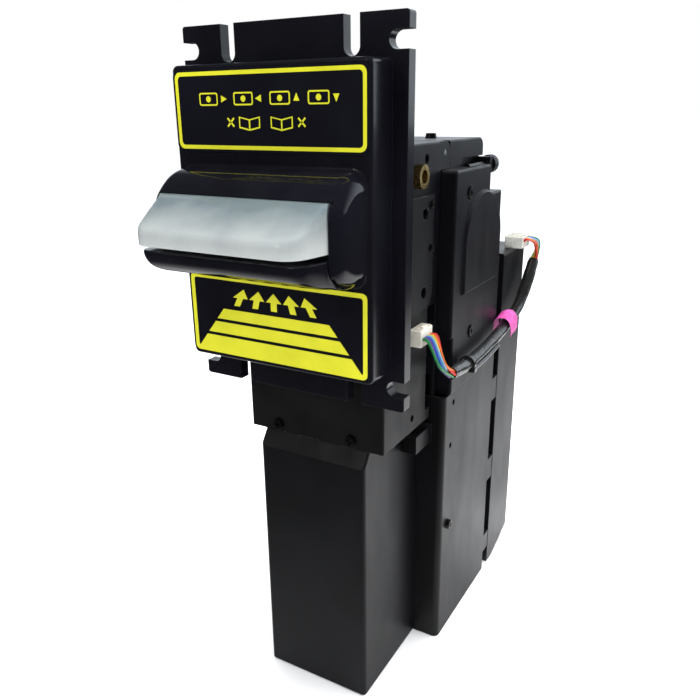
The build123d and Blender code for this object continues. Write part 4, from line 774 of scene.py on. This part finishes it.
def cable_tie(path):
    """Cable tie: a band round the sleeve, its square lock, and the tail laid back along the sleeve."""
    at, ahead, aside, up = place_on(path, TIE_SHARE)
    inner, outer, half = SLEEVE_R, SLEEVE_R + 0.9 * MM, 1.2 * MM
    profile = ((-half, inner), (-half, outer), (0, outer * 1.01), (half, outer), (half, inner))
    turns = 32
    rings = []
    for j in range(turns):
        a = 2 * pi * j / turns
        out = aside * cos(a) + up * sin(a)
        rings.append([at + ahead * s + out * r for s, r in profile])
    bm = bmesh.new()
    skin(bm, rings, hoop=True)
    lock = at + (aside * 0.8 - up * 0.6) * outer
    soft_block(bm, lock - mm(1.3, 1.8, 1.3), lock + mm(1.0, 1.8, 1.3), 0.35 * MM)
    first, last = int(0.16 * len(path)), int(0.34 * len(path))
    laid = (aside * 0.75 - up * 0.65) * (SLEEVE_R + 0.75 * MM)
    tail_wide, tail_thick = 0.95 * MM, 0.5 * MM
    tail = [p + laid for p in path[first:last]]
    tube(bm, tail, lambda t, a: tail_wide if abs(sin(a)) > 0.5 else tail_thick, 8)
    piece("cable_tie_band", bm, "frame", FINISHES["sleeve_plastic"], ["cable_tie"])


def pink_tape(path):
    """A turn of thin tape, laid loosely over the sleeve with both ends hanging."""
    at, ahead, aside, up = place_on(path, TAPE_SHARE)
    # its section across the sleeve, from the outside end over the top to the inside end
    fold = smooth_path([
        mm(x, y, 0) for x, y in (
            (4.1, -5.4), (4.4, -2.2), (4.4, 1.0), (3.6, 3.8), (1.4, 5.8), (-1.6, 6.3),
            (-4.2, 5.0), (-5.2, 1.8), (-5.1, -2.0), (-5.2, -6.4),
        )
    ], 5)
    columns, width, thick, crinkle = 10, 12 * MM, 0.25 * MM, 0.4 * MM
    start_drift, end_drift, drift_from = -1.5 * MM, -6 * MM, 0.45
    sheets = []
    for layer in (0, 1):
        sheet = []
        for i, spot in enumerate(fold):
            t = i / (len(fold) - 1)
            drift = start_drift + end_drift * max(0, t - drift_from) / (1 - drift_from)
            out = spot.normalized()
            row = []
            for j in range(columns + 1):
                s = j / columns - 0.5
                wave = crinkle * noise.noise(Vector((t * 6, s * 2.4, 3.0)))
                p = spot + out * (wave - layer * thick)
                along = width * s * (1 - 0.1 * t) + drift
                row.append(at + aside * p.x + up * p.y + ahead * along)
            sheet.append(row)
        sheets.append(sheet)
    bm = bmesh.new()
    close_sheets(bm, *sheets)
    piece("pink_tape", bm, "frame", FINISHES["tape"], ["tape_flag"])


def plug(name, node, finish):
    """Connector housing with ribs between the ways and a latch bump; returns the middle of its face."""
    low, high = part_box(node)
    bm = bmesh.new()
    soft_block(bm, low, high, 0.5 * MM)
    sunk = high.z - 0.1 * MM
    margin, rib_half, rib_rise = 1 * MM, 0.2 * MM, 0.5 * MM
    pitch = (high.y - low.y - 2 * margin) / WAYS
    for k in range(WAYS + 1):
        y = low.y + margin + pitch * k
        rib_low = Vector((low.x + margin, y - rib_half, sunk))
        rib_high = Vector((high.x - 0.6 * MM, y + rib_half, high.z + rib_rise))
        soft_block(bm, rib_low, rib_high, 0.1 * MM)
    middle = (low.y + high.y) / 2
    latch_half = 2.4 * MM
    latch_low = Vector((high.x - 2.6 * MM, middle - latch_half, sunk))
    latch_high = Vector((high.x - 0.8 * MM, middle + latch_half, high.z + 0.9 * MM))
    soft_block(bm, latch_low, latch_high, 0.2 * MM)
    piece(name, bm, "frame", finish, [node])
    return Vector((high.x, middle, (low.z + high.z) / 2))


def harness():
    """Plugs, wires, sleeve, tie and tape."""
    inward = (SLEEVE_RUN[1] - SLEEVE_RUN[0]).normalized()
    face = plug("front_connector", "front_plug", FINISHES["connector_plastic"])
    wires(
        "front", face, leave=mm(3.2, -0.3, -1.0), bulge=mm(50.2, 44.5, -69.5),
        mouth=SLEEVE_RUN[0] + mm(0, -0.5, 0), inward=inward, row=mm(0, -1.5, 0),
    )
    clear = sheath("clear_nylon", (0.8, 0.79, 0.72, 1), (0.25, 0.38), clear=0.3)
    face = plug("rear_connector", "rear_plug", clear)
    wires(
        "rear", face + mm(0, 0, 0.8), leave=mm(1.6, 0.8, 1.0), bulge=mm(52.0, 183.2, -34.6),
        mouth=SLEEVE_RUN[-1] + mm(0, 0.4, 0.3), inward=-inward, row=mm(0, 1.4, 0),
    )
    path = sleeve()
    cable_tie(path)
    pink_tape(path)


# ------------------------------------------------------------------ springs
def springs():
    """Two compression springs with closer end coils."""
    low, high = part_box("pressure_springs")
    wire = 0.7 * MM
    coil_r = (high.x - low.x) / 2 - wire
    start_y, length = low.y + wire, high.y - low.y - 2 * wire
    turns, steps = 12, 20
    closing = 0.035
    bm = bmesh.new()
    for z in (high.z - coil_r - wire, low.z + coil_r + wire):
        path = []
        for k in range(turns * steps + 1):
            t = k / (turns * steps)
            eased = t - closing * sin(2 * pi * t)
            a = 2 * pi * turns * t
            path.append(Vector((coil_r * cos(a), start_y + length * eased, z + coil_r * sin(a))))
        tube(bm, path, lambda t, a: wire, 8)
    finish = FINISHES["bright_steel"]
    obj = piece("plate_springs", bm, "frame", finish, ["pressure_springs"])
    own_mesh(obj)


# ------------------------------------------------------------------ studio
def lamp(name, at, aim, size, power):
    """Area light at a place, facing its aim."""
    light = bpy.data.lights.new(name, "AREA")
    light.shape = "RECTANGLE"
    light.size, light.size_y = size
    light.energy = power
    obj = bpy.data.objects.new(name, light)
    obj.location = at
    obj.rotation_euler = (aim - at).to_track_quat("-Z", "Y").to_euler()
    bpy.context.scene.collection.objects.link(obj)
    return obj


def pale_floor():
    """White when seen; in reflections it shows painted pools of light behind the object and by its foot,
    and is dark elsewhere.
    """
    n = Nodes("pale_floor")
    pale = n.mix(n.ramp(n.noise(0.4, 3), 0.3, 0.7), (0.9, 0.9, 0.9, 1), (0.94, 0.94, 0.94, 1))

    def painted_light_pool(centre, near, far, bright, dark):
        away = n.add("ShaderNodeVectorMath", operation="DISTANCE")
        away.inputs[1].default_value = centre
        n.link(n.place, away.inputs[0])
        return n.ramp(away.outputs["Value"], near, far, bright, dark)

    # painted pools of light, seen only in reflections
    behind = painted_light_pool((0.05, 0.35, 0), 0.25, 0.52, 0.62, 0.02)
    foot = painted_light_pool((0.03, 0.19, 0), 0.04, 0.14, 1.0, 0.0)
    mirrored = n.mix(n.math("MAXIMUM", behind, foot), grey(0), grey(1))
    glossy = n.add("ShaderNodeLightPath").outputs["Is Glossy Ray"]
    n.set(Base_Color=n.mix(glossy, pale, mirrored), Roughness=0.95, Specular_IOR_Level=0.0)
    return n.material


def sky():
    """White behind the object, an even glow for the light, and a dim room in reflections.

    The room is bright only low down at the back.
    """
    world = bpy.data.worlds.new("studio")
    bpy.context.scene.world = world
    world.use_nodes = True
    tree = world.node_tree
    tree.nodes.clear()

    def add(kind, **values):
        node = tree.nodes.new("ShaderNode" + kind)
        for key, value in values.items():
            node.inputs[key].default_value = value
        return node

    def fade(source, low, high, out_low, out_high):
        node = add("MapRange")
        keys = ("From Min", "From Max", "To Min", "To Max")
        for key, value in zip(keys, (low, high, out_low, out_high)):
            node.inputs[key].default_value = value
        tree.links.new(source, node.inputs["Value"])
        return node.outputs["Result"]

    def choose(share, a, b):
        node = add("MixShader")
        tree.links.new(share, node.inputs["Fac"])
        tree.links.new(a, node.inputs[1])
        tree.links.new(b, node.inputs[2])
        return node.outputs[0]

    eye = add("LightPath")
    ray = add("SeparateXYZ")
    tree.links.new(add("NewGeometry").outputs["Incoming"], ray.inputs[0])
    low_down = fade(ray.outputs["Z"], -0.75, -0.4, 0.0, 1.0)
    behind = fade(ray.outputs["Y"], -0.35, -0.8, 0.0, 1.0)
    window = add("Math")
    window.operation = "MULTIPLY"
    tree.links.new(low_down, window.inputs[0])
    tree.links.new(behind, window.inputs[1])
    room = add("Background", Color=(0.84, 0.92, 1.0, 1))
    tree.links.new(fade(window.outputs[0], 0.0, 1.0, 0.045, 1.5), room.inputs["Strength"])
    glow = add("Background", Color=(0.95, 0.97, 1.0, 1), Strength=1.25)
    seen = add("Background", Color=(1, 1, 1, 1))
    lit = choose(eye.outputs["Is Glossy Ray"], glow.outputs[0], room.outputs[0])
    out = add("OutputWorld")
    tree.links.new(choose(eye.outputs["Is Camera Ray"], lit, seen.outputs[0]), out.inputs["Surface"])


def studio():
    """Pale floor, sky, two large lights that leave no reflection, and a small one that leaves sparkles."""
    low, high = cad_box
    bm = bmesh.new()
    bmesh.ops.create_circle(bm, cap_ends=True, segments=64, radius=12)
    mesh = bpy.data.meshes.new("floor")
    bm.to_mesh(mesh)
    bm.free()
    mesh.materials.append(pale_floor())
    floor = bpy.data.objects.new("floor", mesh)
    floor.location.z = low.z - 0.3 * MM
    bpy.context.scene.collection.objects.link(floor)
    sky()
    middle = (low + high) / 2
    top = lamp("top_light", middle + Vector((0.15, 0.1, 0.95)), middle, (1.0, 1.0), 20)
    top.visible_glossy = False
    side = lamp("right_light", middle + Vector((1.2, 0.45, 0.15)), middle, (0.8, 1.2), 2)
    side.visible_glossy = False
    lamp("front_light", middle + Vector((-0.5, -1.3, 0.8)), middle, (0.12, 0.12), 1.5)
    bpy.context.scene.view_settings.view_transform = "Standard"


def camera():
    """The eye: close, to the right of the mouth and a little above it."""
    eye = mm(168.85, -244.98, 43.08)
    yaw, pitch, roll = radians(-30.13), radians(-18.65), radians(-0.6)
    ahead = Vector((sin(yaw) * cos(pitch), cos(yaw) * cos(pitch), sin(pitch)))
    right = Vector((cos(yaw), -sin(yaw), 0))
    up = right.cross(ahead)
    x_axis = right * cos(roll) + up * sin(roll)
    y_axis = up * cos(roll) - right * sin(roll)
    turned = Matrix((x_axis, y_axis, -ahead)).transposed().to_4x4()
    data = bpy.data.cameras.new("camera")
    data.lens = 36.69
    data.sensor_width = 36
    data.clip_start = 0.01
    obj = bpy.data.objects.new("camera", data)
    obj.matrix_world = Matrix.Translation(eye) @ turned
    bpy.context.scene.collection.objects.link(obj)
    bpy.context.scene.camera = obj


finish_cad()
mouth_lens()
lower_jaw()
upper_print()
lower_print()
harness()
springs()
studio()
camera()
